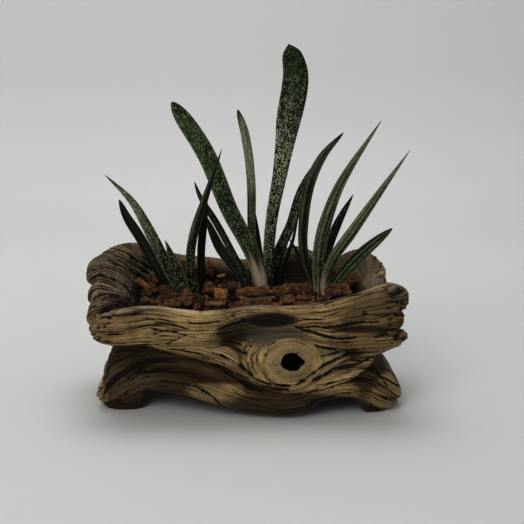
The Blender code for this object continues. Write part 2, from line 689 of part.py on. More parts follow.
def distance_inside(x, y):
    """How far a point lies inside the cavity's mouth, measured to the nearest wall."""
    half_x = (MOUTH["right"] - MOUTH["left"]) / 2 - MOUTH["corner"]
    half_y = (MOUTH["back"] - MOUTH["front"]) / 2 - MOUTH["corner"]
    over_x = abs(x - (MOUTH["right"] + MOUTH["left"]) / 2) - half_x
    over_y = abs(y - (MOUTH["back"] + MOUTH["front"]) / 2) - half_y
    outside = math.hypot(max(over_x, 0.0), max(over_y, 0.0)) + min(max(over_x, over_y), 0.0)
    return MOUTH["corner"] - outside


def chip_shape(draw):
    """A flake of bark: a flat box with its corners drawn in and its ends cut askew."""
    length = draw.uniform(*CHIP_LENGTH)
    width = length * draw.uniform(0.45, 0.85)
    thickness = draw.uniform(*CHIP_THICKNESS)
    shape = bmesh.new()
    bmesh.ops.create_cube(shape, size=1.0)
    for vertex in shape.verts:
        vertex.co.x *= length * draw.uniform(0.75, 1.1)
        vertex.co.y *= width * draw.uniform(0.75, 1.1)
        vertex.co.z *= thickness
    tilt = (Matrix.Rotation(draw.uniform(0, math.tau), 4, "Z")
            @ Matrix.Rotation(draw.uniform(-CHIP_TILT, CHIP_TILT), 4, "X")
            @ Matrix.Rotation(draw.uniform(-CHIP_TILT, CHIP_TILT), 4, "Y"))
    bmesh.ops.transform(shape, matrix=tilt, verts=shape.verts)
    bmesh.ops.triangulate(shape, faces=shape.faces)
    return shape


def fattened_leaves():
    """Search trees of the leaves with a little clearance all round."""
    trees = []
    for leaf in LEAVES.values():
        shape = bmesh.new()
        bmesh.ops.create_uvsphere(shape, u_segments=LEAF_SIDES, v_segments=LEAF_RINGS, radius=1.0)
        for vertex in shape.verts:
            turn = math.atan2(vertex.co.y, vertex.co.x) / math.tau
            fall = math.acos(max(-1.0, min(1.0, vertex.co.z))) / math.pi
            vertex.co = leaf_point(leaf, turn, 1 - fall, LEAF_CLEARANCE)
        trees.append(BVHTree.FromBMesh(shape))
        shape.free()
    return trees


def make_chips(collection, material):
    """Scatter bark chips over the mulch, clear of the walls and the leaves."""
    draw = random.Random(CHIP_SEED)
    trees = fattened_leaves()
    across, along = CHIP_GRID
    step_x = (MOUTH["right"] - MOUTH["left"]) / across
    step_y = (MOUTH["back"] - MOUTH["front"]) / along
    for column in range(across):
        for row in range(along):
            for attempt in range(CHIP_TRIES):
                x = MOUTH["left"] + (column + draw.uniform(0.0, 1.0)) * step_x
                y = MOUTH["front"] + (row + draw.uniform(0.0, 1.0)) * step_y
                shape = chip_shape(draw)
                lowest = min(vertex.co.z for vertex in shape.verts)
                place = Vector((x, y, CHIP_LOWEST + draw.uniform(0.0, 0.6) - lowest))
                bmesh.ops.translate(shape, vec=place, verts=shape.verts)
                if chip_fits(shape, trees):
                    for vertex in shape.verts:
                        vertex.co = to_metres(vertex.co)
                    add_object(f"chip_{column:02d}_{row}", collection, shape, material)
                    break
                shape.free()


def chip_fits(shape, trees):
    """Lean a chip with the planter and say whether it is clear of walls, leaves and height."""
    for vertex in shape.verts:
        corner = vertex.co
        if distance_inside(corner.x, corner.y) < CHIP_WALL_CLEARANCE or corner.z > CHIP_HIGHEST:
            return False
        vertex.co = leaned(corner)
    tree = BVHTree.FromBMesh(shape)
    return not any(tree.overlap(other) for other in trees)


def make_mulch(parts, cutters, material):
    """A bed of bark with its chips fused on, and holes for the stems."""
    mulch = make_filling("bark_mulch", parts, (MULCH_TOP, MULCH_BOTTOM), cutters, material)
    chips = make_collection("chips")
    make_chips(chips, material)
    union = mulch.modifiers.new("chips", "BOOLEAN")
    union.operation = "UNION"
    union.operand_type = "COLLECTION"
    union.collection = chips
    union.solver = "EXACT"
    apply_modifiers(mulch)
    keep_outer_skin(mulch)
    mulch.data.shade_flat()
    for chip in list(chips.objects):
        bpy.data.objects.remove(chip, do_unlink=True)
    bpy.data.collections.remove(chips)


def apply_modifiers(item):
    """Keep an object's evaluated shape as its own mesh."""
    graph = bpy.context.evaluated_depsgraph_get()
    mesh = bpy.data.meshes.new_from_object(item.evaluated_get(graph))
    item.modifiers.clear()
    item.data = mesh


def keep_outer_skin(item):
    """Fill hollows that the fusing sealed and drop loose scraps: only the largest skin stays."""
    shape = bmesh.new()
    shape.from_mesh(item.data)
    unseen = set(shape.faces)
    skins = []
    while unseen:
        skin = {unseen.pop()}
        front = list(skin)
        while front:
            face = front.pop()
            for edge in face.edges:
                for other in edge.link_faces:
                    if other in unseen:
                        unseen.remove(other)
                        skin.add(other)
                        front.append(other)
        skins.append(skin)
    largest = max(skins, key=len)
    extra = [face for skin in skins if skin is not largest for face in skin]
    bmesh.ops.delete(shape, geom=extra, context="FACES")
    shape.to_mesh(item.data)
    shape.free()


def path_point(path, share):
    """Point and direction along a smooth curve through a leaf's path points."""
    points = [Vector(point) for point in path]
    lengths = [(b - a).length for a, b in zip(points, points[1:])]
    run = share * sum(lengths)
    index = 0
    while index < len(lengths) - 1 and run > lengths[index]:
        run -= lengths[index]
        index += 1
    start, end = points[index], points[index + 1]
    before = points[index - 1] if index > 0 else start
    after = points[index + 2] if index + 2 < len(points) else end
    span = lengths[index]
    slope0 = (end - before) * (span / max(1e-6, span + (start - before).length))
    slope1 = (after - start) * (span / max(1e-6, span + (after - end).length))
    t = run / span
    place = (start * ((1 + 2 * t) * (1 - t) ** 2) + slope0 * (t * (1 - t) ** 2)
             + end * (t * t * (3 - 2 * t)) + slope1 * (t * t * (t - 1)))
    direction = (start * (6 * t * t - 6 * t) + slope0 * (1 - 4 * t + 3 * t * t)
                 + end * (6 * t - 6 * t * t) + slope1 * (3 * t * t - 2 * t))
    return place, direction.normalized()


def leaf_width(leaf, share):
    """Width of a leaf along its length, as a share of its greatest width."""
    fullest = leaf["fullest"]
    if share < fullest:
        return blend(leaf["base"], 1.0, smooth(share / fullest))
    rest = (share - fullest) / (1 - fullest)
    return max(0.0, 1 - rest ** leaf["blunt"]) ** (0.9 if leaf["blunt"] < 2 else 0.62)


def leaf_point(leaf, turn, share, grow=0.0):
    """Point of a leaf's skin: turn runs round its section, share from its base to its tip."""
    end_rings = 1.0 / LEAF_RINGS
    span = max(0.0, min(1.0, (share - end_rings) / (1 - end_rings)))
    span = 1 - (1 - span) ** RING_CROWDING
    place, direction = path_point(leaf["path"], span)
    upright = smooth(span / LEAF_UPRIGHT_SHARE)
    direction = Vector((0, 0, 1)).lerp(direction, upright).normalized()
    turned = smooth(span / LEAF_TURN_SHARE)
    angle = math.radians((leaf["facing"] + leaf["twist"] * span) * turned)
    side = Vector((math.cos(angle), math.sin(angle), 0))
    side = (side - direction * side.dot(direction)).normalized()
    face = direction.cross(side)
    half = leaf["width"] / 2 * leaf_width(leaf, span)
    thickness = blend(LEAF_THICKNESS, LEAF_TIP_THICKNESS, span ** 1.5)
    thickness = min(thickness, LEAF_THICKEST_SHARE * leaf["width"])
    thick = thickness / 2 * min(1.0, leaf_width(leaf, span) * 2.5)
    if not end_rings / 2 <= share <= 1 - end_rings / 2:
        half, thick, grow = 0.0, 0.0, 0.0
    wide = math.cos(turn * math.tau)
    deep = math.sin(turn * math.tau)
    cup = LEAF_CUP * 2 * half * (1 - wide * wide) * min(1.0, 4 * span)
    return (place + side * ((half + grow) * wide)
            + face * ((thick + grow) * deep - cup))


def make_leaves(parts, materials):
    for number, (name, leaf) in enumerate(LEAVES.items()):
        shaped_sphere(name, parts, LEAF_SIDES, LEAF_RINGS,
                      lambda turn, fall: leaf_point(leaf, turn, 1 - fall),
                      materials[number % len(materials)])


def make_materials():
    return {
        "cast_wood": make_material("cast_wood_finish", (0.130, 0.093, 0.038), 0.85),
        "soil": make_material("potting_soil_dark", (0.020, 0.014, 0.010), 0.95),
        "bark": make_material("bark_red_brown", (0.075, 0.026, 0.013), 0.85),
        "stem": make_material("stem_pale_mauve", (0.100, 0.080, 0.055), 0.6),
        "leaves": [make_material("leaf_dark_green", (0.022, 0.034, 0.016), 0.45),
                   make_material("leaf_grey_green", (0.045, 0.060, 0.035), 0.5)],
    }


def main():
    clear_scene()
    parts = make_collection("potted_gasteria")
    guides = make_collection("cutters")
    materials = make_materials()
    make_planter(parts, guides, materials["cast_wood"])
    cutters = make_stems(parts, guides, materials["stem"])
    make_soil(parts, cutters, materials["soil"])
    make_mulch(parts, cutters, materials["bark"])
    make_leaves(parts, materials["leaves"])


main()
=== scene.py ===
"""Looks of the potted gasteria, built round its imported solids.

Blender 4.5, metres, +Z up. The planter's form, the leaves' paths and the bed of mulch are
worked out in millimetres, and to_frame() turns them into places in the part's frame.
"""

import json
import math
import random
from collections import namedtuple

import bpy
import numpy as np
from mathutils import Euler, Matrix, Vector


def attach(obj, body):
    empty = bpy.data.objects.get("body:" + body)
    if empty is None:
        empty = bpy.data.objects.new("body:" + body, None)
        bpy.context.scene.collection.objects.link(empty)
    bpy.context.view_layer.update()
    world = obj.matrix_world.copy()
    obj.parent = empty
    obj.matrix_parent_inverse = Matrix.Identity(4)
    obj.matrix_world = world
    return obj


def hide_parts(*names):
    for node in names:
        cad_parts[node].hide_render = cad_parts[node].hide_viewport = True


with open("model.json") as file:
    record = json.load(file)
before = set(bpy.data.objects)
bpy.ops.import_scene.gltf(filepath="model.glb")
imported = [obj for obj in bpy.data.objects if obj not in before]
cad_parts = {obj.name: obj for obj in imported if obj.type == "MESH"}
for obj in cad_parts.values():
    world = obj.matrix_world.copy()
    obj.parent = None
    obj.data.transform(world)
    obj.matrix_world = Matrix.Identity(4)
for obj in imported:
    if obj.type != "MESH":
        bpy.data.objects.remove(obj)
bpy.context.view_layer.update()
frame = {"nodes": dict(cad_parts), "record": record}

MM = 0.001
GAP = 0.35
CENTRE_SHIFT = np.array((3.4, 1.3, 0.0))

# Planter: outline, cavity, rim and lower edge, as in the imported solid
POT_HALF_LENGTH = 88.0
POT_HALF_DEPTH = 52.0
POT_CORNER = 24.0
FLOOR_TOP = 22.0
UNDERSIDE = 14.0
UNDERSIDE_RISE = 1.2
CAVITY_WAIST = 38.0
CAVITY_MOUTH = 57.0
CAVITY_LIP = 62.0
WALL_STOPS = (FLOOR_TOP, CAVITY_WAIST, CAVITY_MOUTH, CAVITY_LIP)
MOUTH = {"left": -72.0, "right": 75.0, "front": -45.0, "back": 46.0, "corner": 16.0}
FLOOR = {"left": -54.0, "right": 60.0, "front": -25.0, "back": 32.0, "corner": 12.0}
FOOT_INNER = {"left": -76.0, "right": 78.0, "front": -26.0, "back": 34.0, "corner": 6.0}
RIM_SHOULDER = 8.0
RIM_ROLL_DROP = 10.0
RIM_ROLL_REACH = 4.5
RIM_ROLL_SPREAD = 3.6
CREST_REACH = 1.0
CREST_REACH_LEFT = 8.0
CREST_REACH_RIGHT = 2.0
EDGE_TUCK = 2.5
EDGE_TUCK_HEIGHT = 5.0
FOOT_TUCK = 5.5
FOOT_TUCK_HEIGHT = 10.0
LEFT_FOOT_TUCK = 6.0
FOOT_DRAW_IN = 0.1
FOOT_EDGE = 4
BACK_LEAN = 0.03
FRONT_RIM = [(-94, 66), (-78, 71), (-60, 72), (-43, 69.3), (-30, 68), (-18, 69.3), (0, 71.8),
             (25, 71.8), (44, 73.7), (60, 77.6), (72, 81.4), (84, 84.6), (96, 85)]
BACK_RIM = [(-94, 90), (-84, 91.5), (-70, 90), (-52, 85), (-41, 82.3), (-24, 80.8), (-6, 79.4),
            (9, 80.8), (22, 86.5), (33, 88.5), (43, 87), (53, 82.3), (63, 80), (71, 84.4),
            (79, 88), (88, 87)]
LEFT_RIM = [(-50, 65), (-30, 69), (-10, 75), (10, 81), (25, 85.5), (50, 91.5)]
RIGHT_RIM = [(-52, 85), (-36, 82), (-18, 76), (0, 73), (16, 75), (32, 81), (50, 87)]
LEFT_RIM_NOTCHES = (-41.0, -21.0, 1.0)
NOTCH_DEPTH = 4.5
NOTCH_WIDTH = 4.0
FRONT_EDGE = [(-82, 0), (-78, 1), (-73, 5.5), (-67, 12), (-58, 13), (-40, 11), (-20, 6),
              (0, 3.5), (20, 3.5), (35, 6.5), (45, 11), (55, 12.5), (64, 11), (71, 5), (78, 0),
              (82, 0)]
BACK_EDGE = [(-80, 0), (-75, 0), (-66, 12), (-20, 9), (10, 7), (40, 10), (64, 12), (74, 0), (79, 0)]
END_EDGE = [(-26, 0), (-22, 0), (-14, 9), (14, 9), (24, 0), (28, 0)]

# Front logs: middle height, half thickness and reach, each along the front
FRONT_LOGS = [
    ([(-100, 58.5), (-60, 60), (-30, 60.5), (0, 63), (20, 66.5), (40, 67), (60, 70), (80, 75),
      (100, 77)],
     [(-100, 14), (-30, 14), (10, 9), (30, 8), (50, 9), (80, 10), (100, 11)],
     [(-100, 9), (-60, 9.5), (-20, 9), (10, 4), (30, 3.5), (50, 5.5), (80, 7.5), (100, 8)]),
    ([(40, 58), (60, 60), (80, 61.5), (100, 62)],
     [(40, 4), (70, 5.5), (100, 6)],
     [(30, -8), (48, -1), (65, 3), (80, 5), (100, 6)]),
    ([(30, 52), (50, 51), (70, 49.5), (100, 48.5)],
     [(30, 6), (60, 7.5), (100, 8.5)],
     [(20, -8), (38, 1), (55, 5.5), (80, 7), (100, 9)]),
    ([(-75, 51), (-50, 48), (-25, 43), (-8, 36), (8, 26), (28, 20), (44, 22), (60, 29), (80, 39),
      (100, 45)],
     [(-75, 5), (-25, 8), (10, 8), (30, 7), (60, 7), (100, 6)],
     [(-75, -6), (-50, 3), (-25, 6.5), (0, 8), (25, 8), (44, 6), (60, 4), (80, 1), (100, -2)]),
    ([(-97, 7), (-82, 11), (-62, 20), (-35, 17), (0, 11), (25, 8), (40, 11), (55, 16), (70, 15),
      (85, 9), (98, 7)],
     [(-97, 12), (-62, 10), (0, 10), (40, 9), (98, 11)],
     [(-97, -19), (-80, -17), (-62, -9), (-35, -1), (0, 6.5), (25, 8.5), (45, 5), (60, 1),
      (75, -4), (90, -7)]),
]
FRONT_BACKGROUND = [(-100, -21), (-60, -16), (-30, -9), (-5, -3), (40, -3), (100, -8)]
BLEND_SHARPNESS = 1.1
LOG_BLUNTNESS = 3.0
END_BLUNTNESS = 6.0
KNOT_X = 26.0
KNOT_Z = 38.0
KNOT_HALF_LENGTH = 27.0
KNOT_HALF_HEIGHT = 14.5
KNOT_REACH = 10.5
KNOT_FALL = 7.0
# Log ends on the short sides: (y, height, half width, half height, reach)
LEFT_ENDS = [(17, 80, 17, 13, 18.5), (-10, 71, 9, 9, 15), (-31, 62, 9, 9, 12.5),
             (-50, 57, 14, 11.5, 11.5), (42, 76, 13, 14, 12), (12, 60, 24, 9, 9),
             (44, 54, 14, 10, 8)]
LEFT_BACKGROUND = [(0, 7.5), (9, 8.5), (28, 0), (45, -6.5), (52, -2), (100, 0)]
RIGHT_ENDS = [(-46, 76, 15, 10, 10), (-46, 61, 17, 6.5, 7), (-46, 47.5, 20, 8, 10),
              (42, 77, 13, 12, 8), (4, 64, 24, 10, 5), (38, 52, 16, 10, 6)]
RIGHT_BACKGROUND = [(0, 8), (10, 9.5), (22, 3), (31, -5), (40, -4), (60, -2), (100, 0)]
# Back: a rail below the rim as (half height, reach), and logs as (height, half height, reach,
# slope)
BACK_RAIL_DROP = 16.0
BACK_RAIL = (15.0, 8.0)
BACK_LOGS = [(44, 11, 4, -0.08), (20, 12, 5, 0.05)]
BACK_BACKGROUND = -3.0
RAIL_CORNER_PUSH = 8.0
RAIL_CORNER_BOTTOM = 44.0
RAIL_CORNER_BLEND = 6.0

# Rows of the planter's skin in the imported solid, and how many fine rows lead to each
ROW_FLOOR = 2
ROW_WALL = 5
ROW_CREST = 7
ROW_SHOULDER = 9
ROW_EDGE = 21
ROW_SOLE = 23
ROW_FOOT = 24
ROW_LAST = 27
RAIL_ROWS_TOP = (0.30, 51.0)
RAIL_ROWS_BOTTOM = (0.42, 45.0)
FINE_COLUMNS = 600
FINE_ROWS = [(0, 0), (2, ROW_FLOOR), (4, 4), (7, ROW_WALL), (31, ROW_CREST), (44, ROW_SHOULDER),
             (150, ROW_EDGE), (155, ROW_SOLE), (159, ROW_FOOT), (164, ROW_LAST)]

# The knot's hole: corners of its mouth as (x, height), and how deep it goes
HOLE_CORNERS = [(18.2, 40.6), (20.2, 43.4), (24.3, 44.9), (29.2, 44.2), (32.2, 41.4),
                (34.8, 38.6), (32.0, 35.6), (29.9, 32.4), (25.8, 31.6), (21.6, 33.0),
                (18.6, 36.4)]
HOLE_MOUTH_Y = -70.0
HOLE_BOTTOM_Y = -52.5
HOLE_TAPER = 0.72
HOLE_MOUTH_SHARE = 1.04
HOLE_ROUGHNESS = 0.16
HOLE_RINGS = 24
HOLE_SEED = 91
# What counts as inside the hole: sunk below the logs, near its middle, before its bottom
HOLE_SUNK = 0.3
HOLE_NEARNESS = 0.3
HOLE_BOTTOM_GAP = 1

# Lines that the grain follows across the front, from the lower edge up, each with the grain's
# own height
GRAIN_GUIDES = [
    (0.0, [(-97, -3), (-80, 2), (-67, 8), (-56, 11.5), (-40, 11), (-20, 6), (0, 3.5), (20, 3.5),
           (35, 6.5), (45, 11), (55, 12), (66, 8.5), (80, 2), (97, -4)]),
    (15.0, [(-97, 8), (-90, 15), (-85, 20.9), (-80, 25), (-72.7, 28.9), (-64.6, 31.5),
            (-56, 32.6), (-47, 33), (-38, 33), (-30, 32.2), (-21.4, 29.5), (-14.7, 26.2),
            (-8.1, 22.5), (-1.4, 19.6), (3.6, 18.5), (10, 17.4), (18, 16.6), (27, 16),
            (34, 17.3), (43.5, 19.1), (51.5, 21.2), (59.4, 22.9), (68.7, 23.3), (75.4, 22.2),
            (80.8, 19.1), (85.6, 16), (92, 10), (98, 5)]),
    (29.0, [(-90, 46), (-50, 46), (-30, 45.5), (-24.5, 44), (-16, 41.9), (-9.4, 38.1),
            (-3, 33), (2, 28), (7, 25.2), (13.5, 23.9), (20, 23.2), (27, 23.4), (34, 25.9),
            (40, 30.7), (46, 35.2), (52, 38.3), (60, 40.7), (70, 41.5), (83, 42), (100, 43)]),
    (34.0, [(-97, 48.5), (-60, 48), (-30, 48.3), (-16, 49), (-5, 47), (2, 46.2), (6, 47),
            (10, 49.5), (15, 51.8), (21, 52.8), (28, 52.2), (36, 49.2), (42, 47.2), (47, 46),
            (54, 44.6), (62, 45), (72, 46.3), (80, 47.3), (100, 48.5)]),
    (47.0, [(-97, 57), (-75, 57), (-55, 60), (-40, 59.5), (-28, 59.5), (-15, 60.5), (0, 62.5),
            (12, 61.5), (25, 59.8), (31, 58.4), (39, 58.8), (47, 57.8), (55, 58.8), (62, 60.2),
            (70, 61.9), (79, 62.9), (100, 65)]),
    (61.0, FRONT_RIM),
]

# Cracks across the front: their points as (x, height), half width and depth
CRACKS = [
    ([(-57, 63.1), (-50, 62.7), (-42, 60.7), (-36.7, 59)], 0.8, 1.3),
    ([(-60, 59.7), (-55, 58.3), (-48.5, 58), (-44, 56.6), (-37, 54.3), (-30, 52.9)], 1.1, 2.2),
    ([(-37, 63.1), (-29, 62.9), (-21, 63.4), (-14.4, 65.4), (-8, 67.8)], 0.8, 1.5),
    ([(-11, 61.7), (-5, 63.4), (1.2, 64.4)], 1.1, 2.0),
    ([(-21.7, 58.3), (-15.8, 59.7), (-11.9, 61)], 0.7, 1.2),
    ([(-19.7, 56.3), (-12.5, 56.3), (-5.3, 57.3), (1.2, 58.7)], 0.8, 1.5),
    ([(-86.5, 55.6), (-81.3, 56), (-75.4, 56.3)], 0.9, 1.8),
    ([(-79, 50), (-71, 50.1), (-63, 50), (-54, 49.4)], 0.9, 1.6),
    ([(-71, 47.7), (-63.4, 47.4), (-55, 47.5)], 0.8, 1.3),
    ([(-16.5, 49), (-11.3, 47.9), (-5.4, 46.9), (1.2, 46.6)], 0.9, 1.5),
    ([(-50, 44.8), (-41, 44.2), (-33, 42.8), (-26, 41.1), (-21, 39.3)], 1.0, 1.8),
    ([(-24.5, 44), (-16, 41.9), (-9.4, 38.1), (-4.1, 34.3), (2.6, 29.5)], 1.1, 2.2),
    ([(-30, 35.8), (-21.4, 31.7), (-14.7, 28.2), (-8.1, 24), (-1.4, 20.6), (8, 17.8)], 1.1, 2.2),
    ([(-24.6, 34.7), (-17.3, 33.4), (-9.4, 29.2), (-2.7, 26.4), (4, 22.5)], 0.9, 1.8),
    ([(-85, 20.9), (-80.2, 25.1), (-72.7, 28.9), (-64.6, 32.1), (-56.5, 32.4), (-47, 31.7)],
     1.6, 2.8),
    ([(-79, 20.2), (-72, 24.4), (-64.7, 25.8), (-56.6, 27.2), (-49.8, 28.2), (-44.5, 28.4)],
     1.2, 2.2),
    ([(-92.7, 10.5), (-87, 18.8), (-80.6, 23.8), (-73.3, 28), (-66, 31), (-58.6, 32)], 2.7, 2.0),
    ([(-94.5, 12), (-92, 20), (-88, 29), (-84, 38)], 1.2, 1.5),
    ([(-80.5, 11), (-82, 7), (-81.5, 3.5)], 0.9, 1.4),
    ([(-78.5, 11.5), (-76, 14.5)], 0.8, 1.0),
    ([(-54.8, 21.9), (-48, 21.8), (-40, 21.2), (-33.5, 19.9), (-27.5, 17.4), (-22.8, 14.6),
      (-18.8, 10.1), (-14.8, 6.5)], 1.1, 2.5),
    ([(25.2, 59.8), (31, 58.2), (39, 58.8), (47, 57.8), (54.7, 58.8), (62, 60.2), (69.7, 61.9),
      (79, 62.9)], 1.2, 2.6),
    ([(26.6, 59.3), (33.8, 56.3), (40.4, 54.6), (47, 52.9), (53.6, 51.8), (61.5, 52.5),
      (68, 53.9)], 1.3, 2.6),
    ([(74.7, 53.5), (82.5, 55.6), (91.7, 57.3)], 1.0, 2.2),
    ([(48.3, 50.3), (52.2, 49), (60.1, 49.3)], 1.0, 2.2),
    ([(25.7, 61.6), (33.5, 64), (42.7, 63.7), (48.5, 64.7)], 0.8, 1.4),
    ([(36.3, 48.8), (42.3, 46.8), (46.9, 45.8), (51.5, 44.8), (54.8, 43)], 0.9, 1.6),
    ([(43, 41.3), (49.6, 42), (56, 43), (62.7, 43.7), (71.9, 45.1), (79, 46.1)], 0.9, 1.8),
    ([(28.7, 23.8), (34, 25.9), (39.9, 30.7), (45.7, 35.2), (52.3, 38.3), (59.5, 40.7),
      (68, 41.3), (82.5, 42)], 1.3, 2.6),
    ([(34, 23.2), (43.3, 27.3), (51.8, 32.2), (60.4, 33.6), (69.6, 36.3), (76.2, 38.7)], 1.2, 2.4),
    ([(26.9, 16), (34.2, 17.3), (43.5, 19.1), (51.5, 21.2), (59.4, 22.9), (68.7, 23.3),
      (75.4, 22.2), (80.8, 19.1), (85.6, 16)], 1.1, 2.4),
    ([(40.2, 22.6), (47.5, 23.3), (56.7, 25), (63.4, 25.7), (70, 25.3)], 1.0, 2.0),
    ([(34.4, 11.1), (41, 12.9), (46.4, 13.6), (51.7, 14.3)], 0.9, 1.6),
    ([(68, 28.5), (73.4, 29.2), (78.7, 27.8), (82.9, 22.9), (86.4, 18)], 1.2, 2.4),
    ([(80.5, 13), (85.9, 10.2), (91.4, 7.4)], 1.0, 2.0),
    ([(75.2, 7), (80, 3.5)], 0.9, 1.6),
    ([(16.6, 50.6), (12.7, 48.2), (10.3, 44.6), (9.2, 40.4)], 0.55, 1.0),
    ([(6.8, 45.8), (4.2, 41.7), (4.2, 36.2), (6.9, 31.4)], 0.5, 1.0),
    ([(3.5, 44.4), (1.2, 40.3), (1.8, 34.8), (5.5, 30)], 0.45, 0.9),
    ([(-3, 33.6), (0.9, 28.7), (6.9, 25.3), (13.5, 23.9), (20.2, 23.2), (26.1, 23.2)], 1.0, 2.0),
    ([(-3.1, 28.7), (2.2, 24.6), (8.9, 21.8), (16.9, 20.8), (23.5, 20.4)], 0.9, 1.7),
    ([(-3.1, 24), (3.6, 20.5), (10.2, 18.4), (18.2, 17.7)], 0.9, 1.6),
]

# Grooves over the left lip, from its outer crest down to the bark, in the planter's millimetres
LIP_GROOVES = [
    [(-98, 50, 89), (-83, 47, 88), (-74.5, 47, 84), (-66, 46, 77)],
    [(-99, 45, 88), (-88.8, 42.5, 87.3), (-79.4, 43.1, 83), (-71.6, 45.6, 77.2), (-64, 47, 71)],
    [(-100, 38, 86), (-89.8, 37.4, 84.9), (-77.1, 41.6, 77.3), (-68.7, 45.2, 70.4)],
    [(-103, 29, 83), (-92.6, 29.2, 83.6), (-80.9, 34.5, 75.7), (-71.5, 42.6, 68)],
    [(-105, 21, 81), (-95.3, 21.1, 83), (-85.7, 23, 76.8), (-77.4, 33.9, 68.4)],
    [(-105, 13, 78), (-96.5, 12.5, 81.1), (-87.1, 12, 76.5), (-79.3, 18.4, 70)],
    [(-105, 7, 75), (-97.4, 6.6, 79), (-88.1, 5.5, 75.2), (-80, 6.4, 69.6)],
    [(-104, 1, 71), (-93.4, 1.6, 74.4), (-83.3, -5.2, 71.7), (-76.3, -7.7, 64.9)],
    [(-104, -10, 69), (-95.3, -10.2, 74.1), (-86.3, -11.4, 71.4), (-77.1, -10.5, 65.5)],
    [(-102, -18, 66), (-93.3, -18.7, 69.9), (-84.5, -16.7, 69.5), (-76.3, -12.7, 64.9)],
    [(-101, -28, 63), (-93.5, -27.8, 68.8), (-86.3, -21.7, 68), (-76.8, -15.4, 65.2)],
    [(-100, -35.6, 62), (-92.7, -34.7, 67.6), (-86.3, -27.1, 67), (-76.7, -18, 65)],
    [(-99, -41, 59), (-96.9, -40.5, 62.7), (-92.2, -39.9, 66), (-85.1, -34.5, 67),
     (-75.1, -21.5, 64.5)],
]
LIP_CREASES = (7, 12)
# Half width, depth and darkness of one groove or crease over the lip
LIP_GROOVE = (1.1, 2.0, 0.85)
LIP_CREASE = (1.9, 3.8, 1.0)
# Finer lines between two grooves: how many, the share they fill, depth and darkness, and the
# size and seed of the patches that they show in
LIP_LINES_BETWEEN = 3
LIP_LINE_SHARE = 0.45
LIP_LINE_DEPTH = 0.8
LIP_LINE_DARK = 0.7
LIP_LINE_PATCHES = (9.0, 73)
# The lip's grain lies in a part of the noise of its own, one step for each groove
LIP_GRAIN_STEP = 4.6
LIP_GRAIN_PLACE = 300

# Dark wash and painted shade on the front: (x, height, half length, half height, strength)
DARK_STAINS_AND_SHADE = [
    (13, 63.5, 18, 5.0, 1.0), (-1, 59, 13, 6, 0.8), (-7, 56, 15, 8.5, 0.9),
    (-55, 38.5, 30, 7, 0.45), (-72, 29, 15, 3.0, 0.3), (70, 57.5, 24, 2.6, 0.9),
    (82, 32, 8, 8, 0.75), (8, 19.5, 15, 5, 0.8), (-14, 31, 14, 5, 0.55), (-93, 16, 4, 8, 0.3),
    (40, 60, 12, 3, 0.5), (60, 33, 14, 4, 0.45), (-84, 33, 12, 6, 0.3), (-92, 56, 11, 13, 0.55),
    (-86, 48, 14, 5, 0.45), (84, 68, 32, 16, 0.65), (80, 16, 12, 9, 0.45), (-20, 58, 12, 3, 0.3),
    (22, 10, 44, 9, 0.85), (-38, 15, 26, 8, 0.45), (72, 48, 28, 10, 0.5),
]
# Other marks on the front: (x, height, half length, half height)
SMOOTH_SPOT = (9, 56, 16, 5.5)
COOL_SPOT = (15, 53.5, 19, 7.5)
CALM_SPOT = (28, 37, 30, 17)
# Painted light: a brighter ochre patch over the left foot, which lies in shade below the rail
PAINTED_LIGHT_FOOT = (-76, 19, 27, 10)
HOLE_SPOT = (26.3, 38.2, 9.5, 8.0)
KNOT_FACE = (25.4, 37.0, 16.6, 13.2)
OVAL_EDGE = (1.35, 0.7)

# Where the kinds of surface begin or end: a level, and the length over which they fade
LEFT_FOOT = (-55, 15)
FRONT_FACE = (-34, 12)
LOW_FRONT = (-12, 10)
LOW_FRONT_TOP = (46, 5)
FRONT_FACING = (0.1, 0.5)
CRACK_FACING = (0.4, 0.5)
GRAIN_TURNS = (2, 5)
RIM_INWARD = (0, 2)
RIM_BOTTOM = (56, 4)
LIP_INNER_END = (-60, 8)
LIP_BOTTOM = (59, 5)
LIP_FRONT_END = (-46, 6)
LIP_BACK_END = (53, 5)
RAGGED_LEFT = (-78, 10)
RAGGED_RIGHT = (80, 8)
RAGGED_BOTTOM = (44, 6)
SOLE_KEPT = (1.5, 3)
CAVITY_TOP = (62, 3)
CAVITY_DEPTH = (60, 8)
CAVITY_HALF_LENGTH = 80

# The knot's face, in shares of its half size: where its ringed grain ends on the right and on
# the left, and how its marks fade. Its grain lies in a part of the noise of its own.
KNOT_GRAIN_ENDS = (1.2, 1.65)
KNOT_LEFT_SIDE = (20, 14)
KNOT_STILL = (1.0, 0.2)
KNOT_PALE = (1.0, 0.4)
KNOT_COOL_FROM = (1.05, 0.15)
KNOT_ANGLE = 3
KNOT_ANGLE_SPREAD = 0.2
KNOT_GRAIN_TOP = 120
KNOT_GRAIN_STEP = 13.0
KNOT_RAYS = (7, 81)

# Grooves in the grain: the size of their noise, their half width and a seed
DEEP_GROOVES = ((80, 80, 6.0), 0.75, 11)
MIDDLE_GROOVES = ((60, 60, 3.6), 0.6, 12)
THIN_GROOVES = ((45, 45, 2.1), 0.5, 13)
GROOVE_STEP = 0.3
GROOVE_LEAST_SLOPE = 0.02
LINE_CORE = 1.4
# How deep and how dark each kind of mark is at most
DEPTHS = {"deep": 1.5, "middle": 0.8, "thin": 0.4, "swell": 0.8, "ridges": 0.45, "pits": 1.6}
DARKNESS = {"deep": 0.7, "middle": 0.4, "thin": 0.25, "crack": 1.15, "pits": 1.1}
# The least distance between two lines that guide the grain
GUIDE_GAP = 1.5
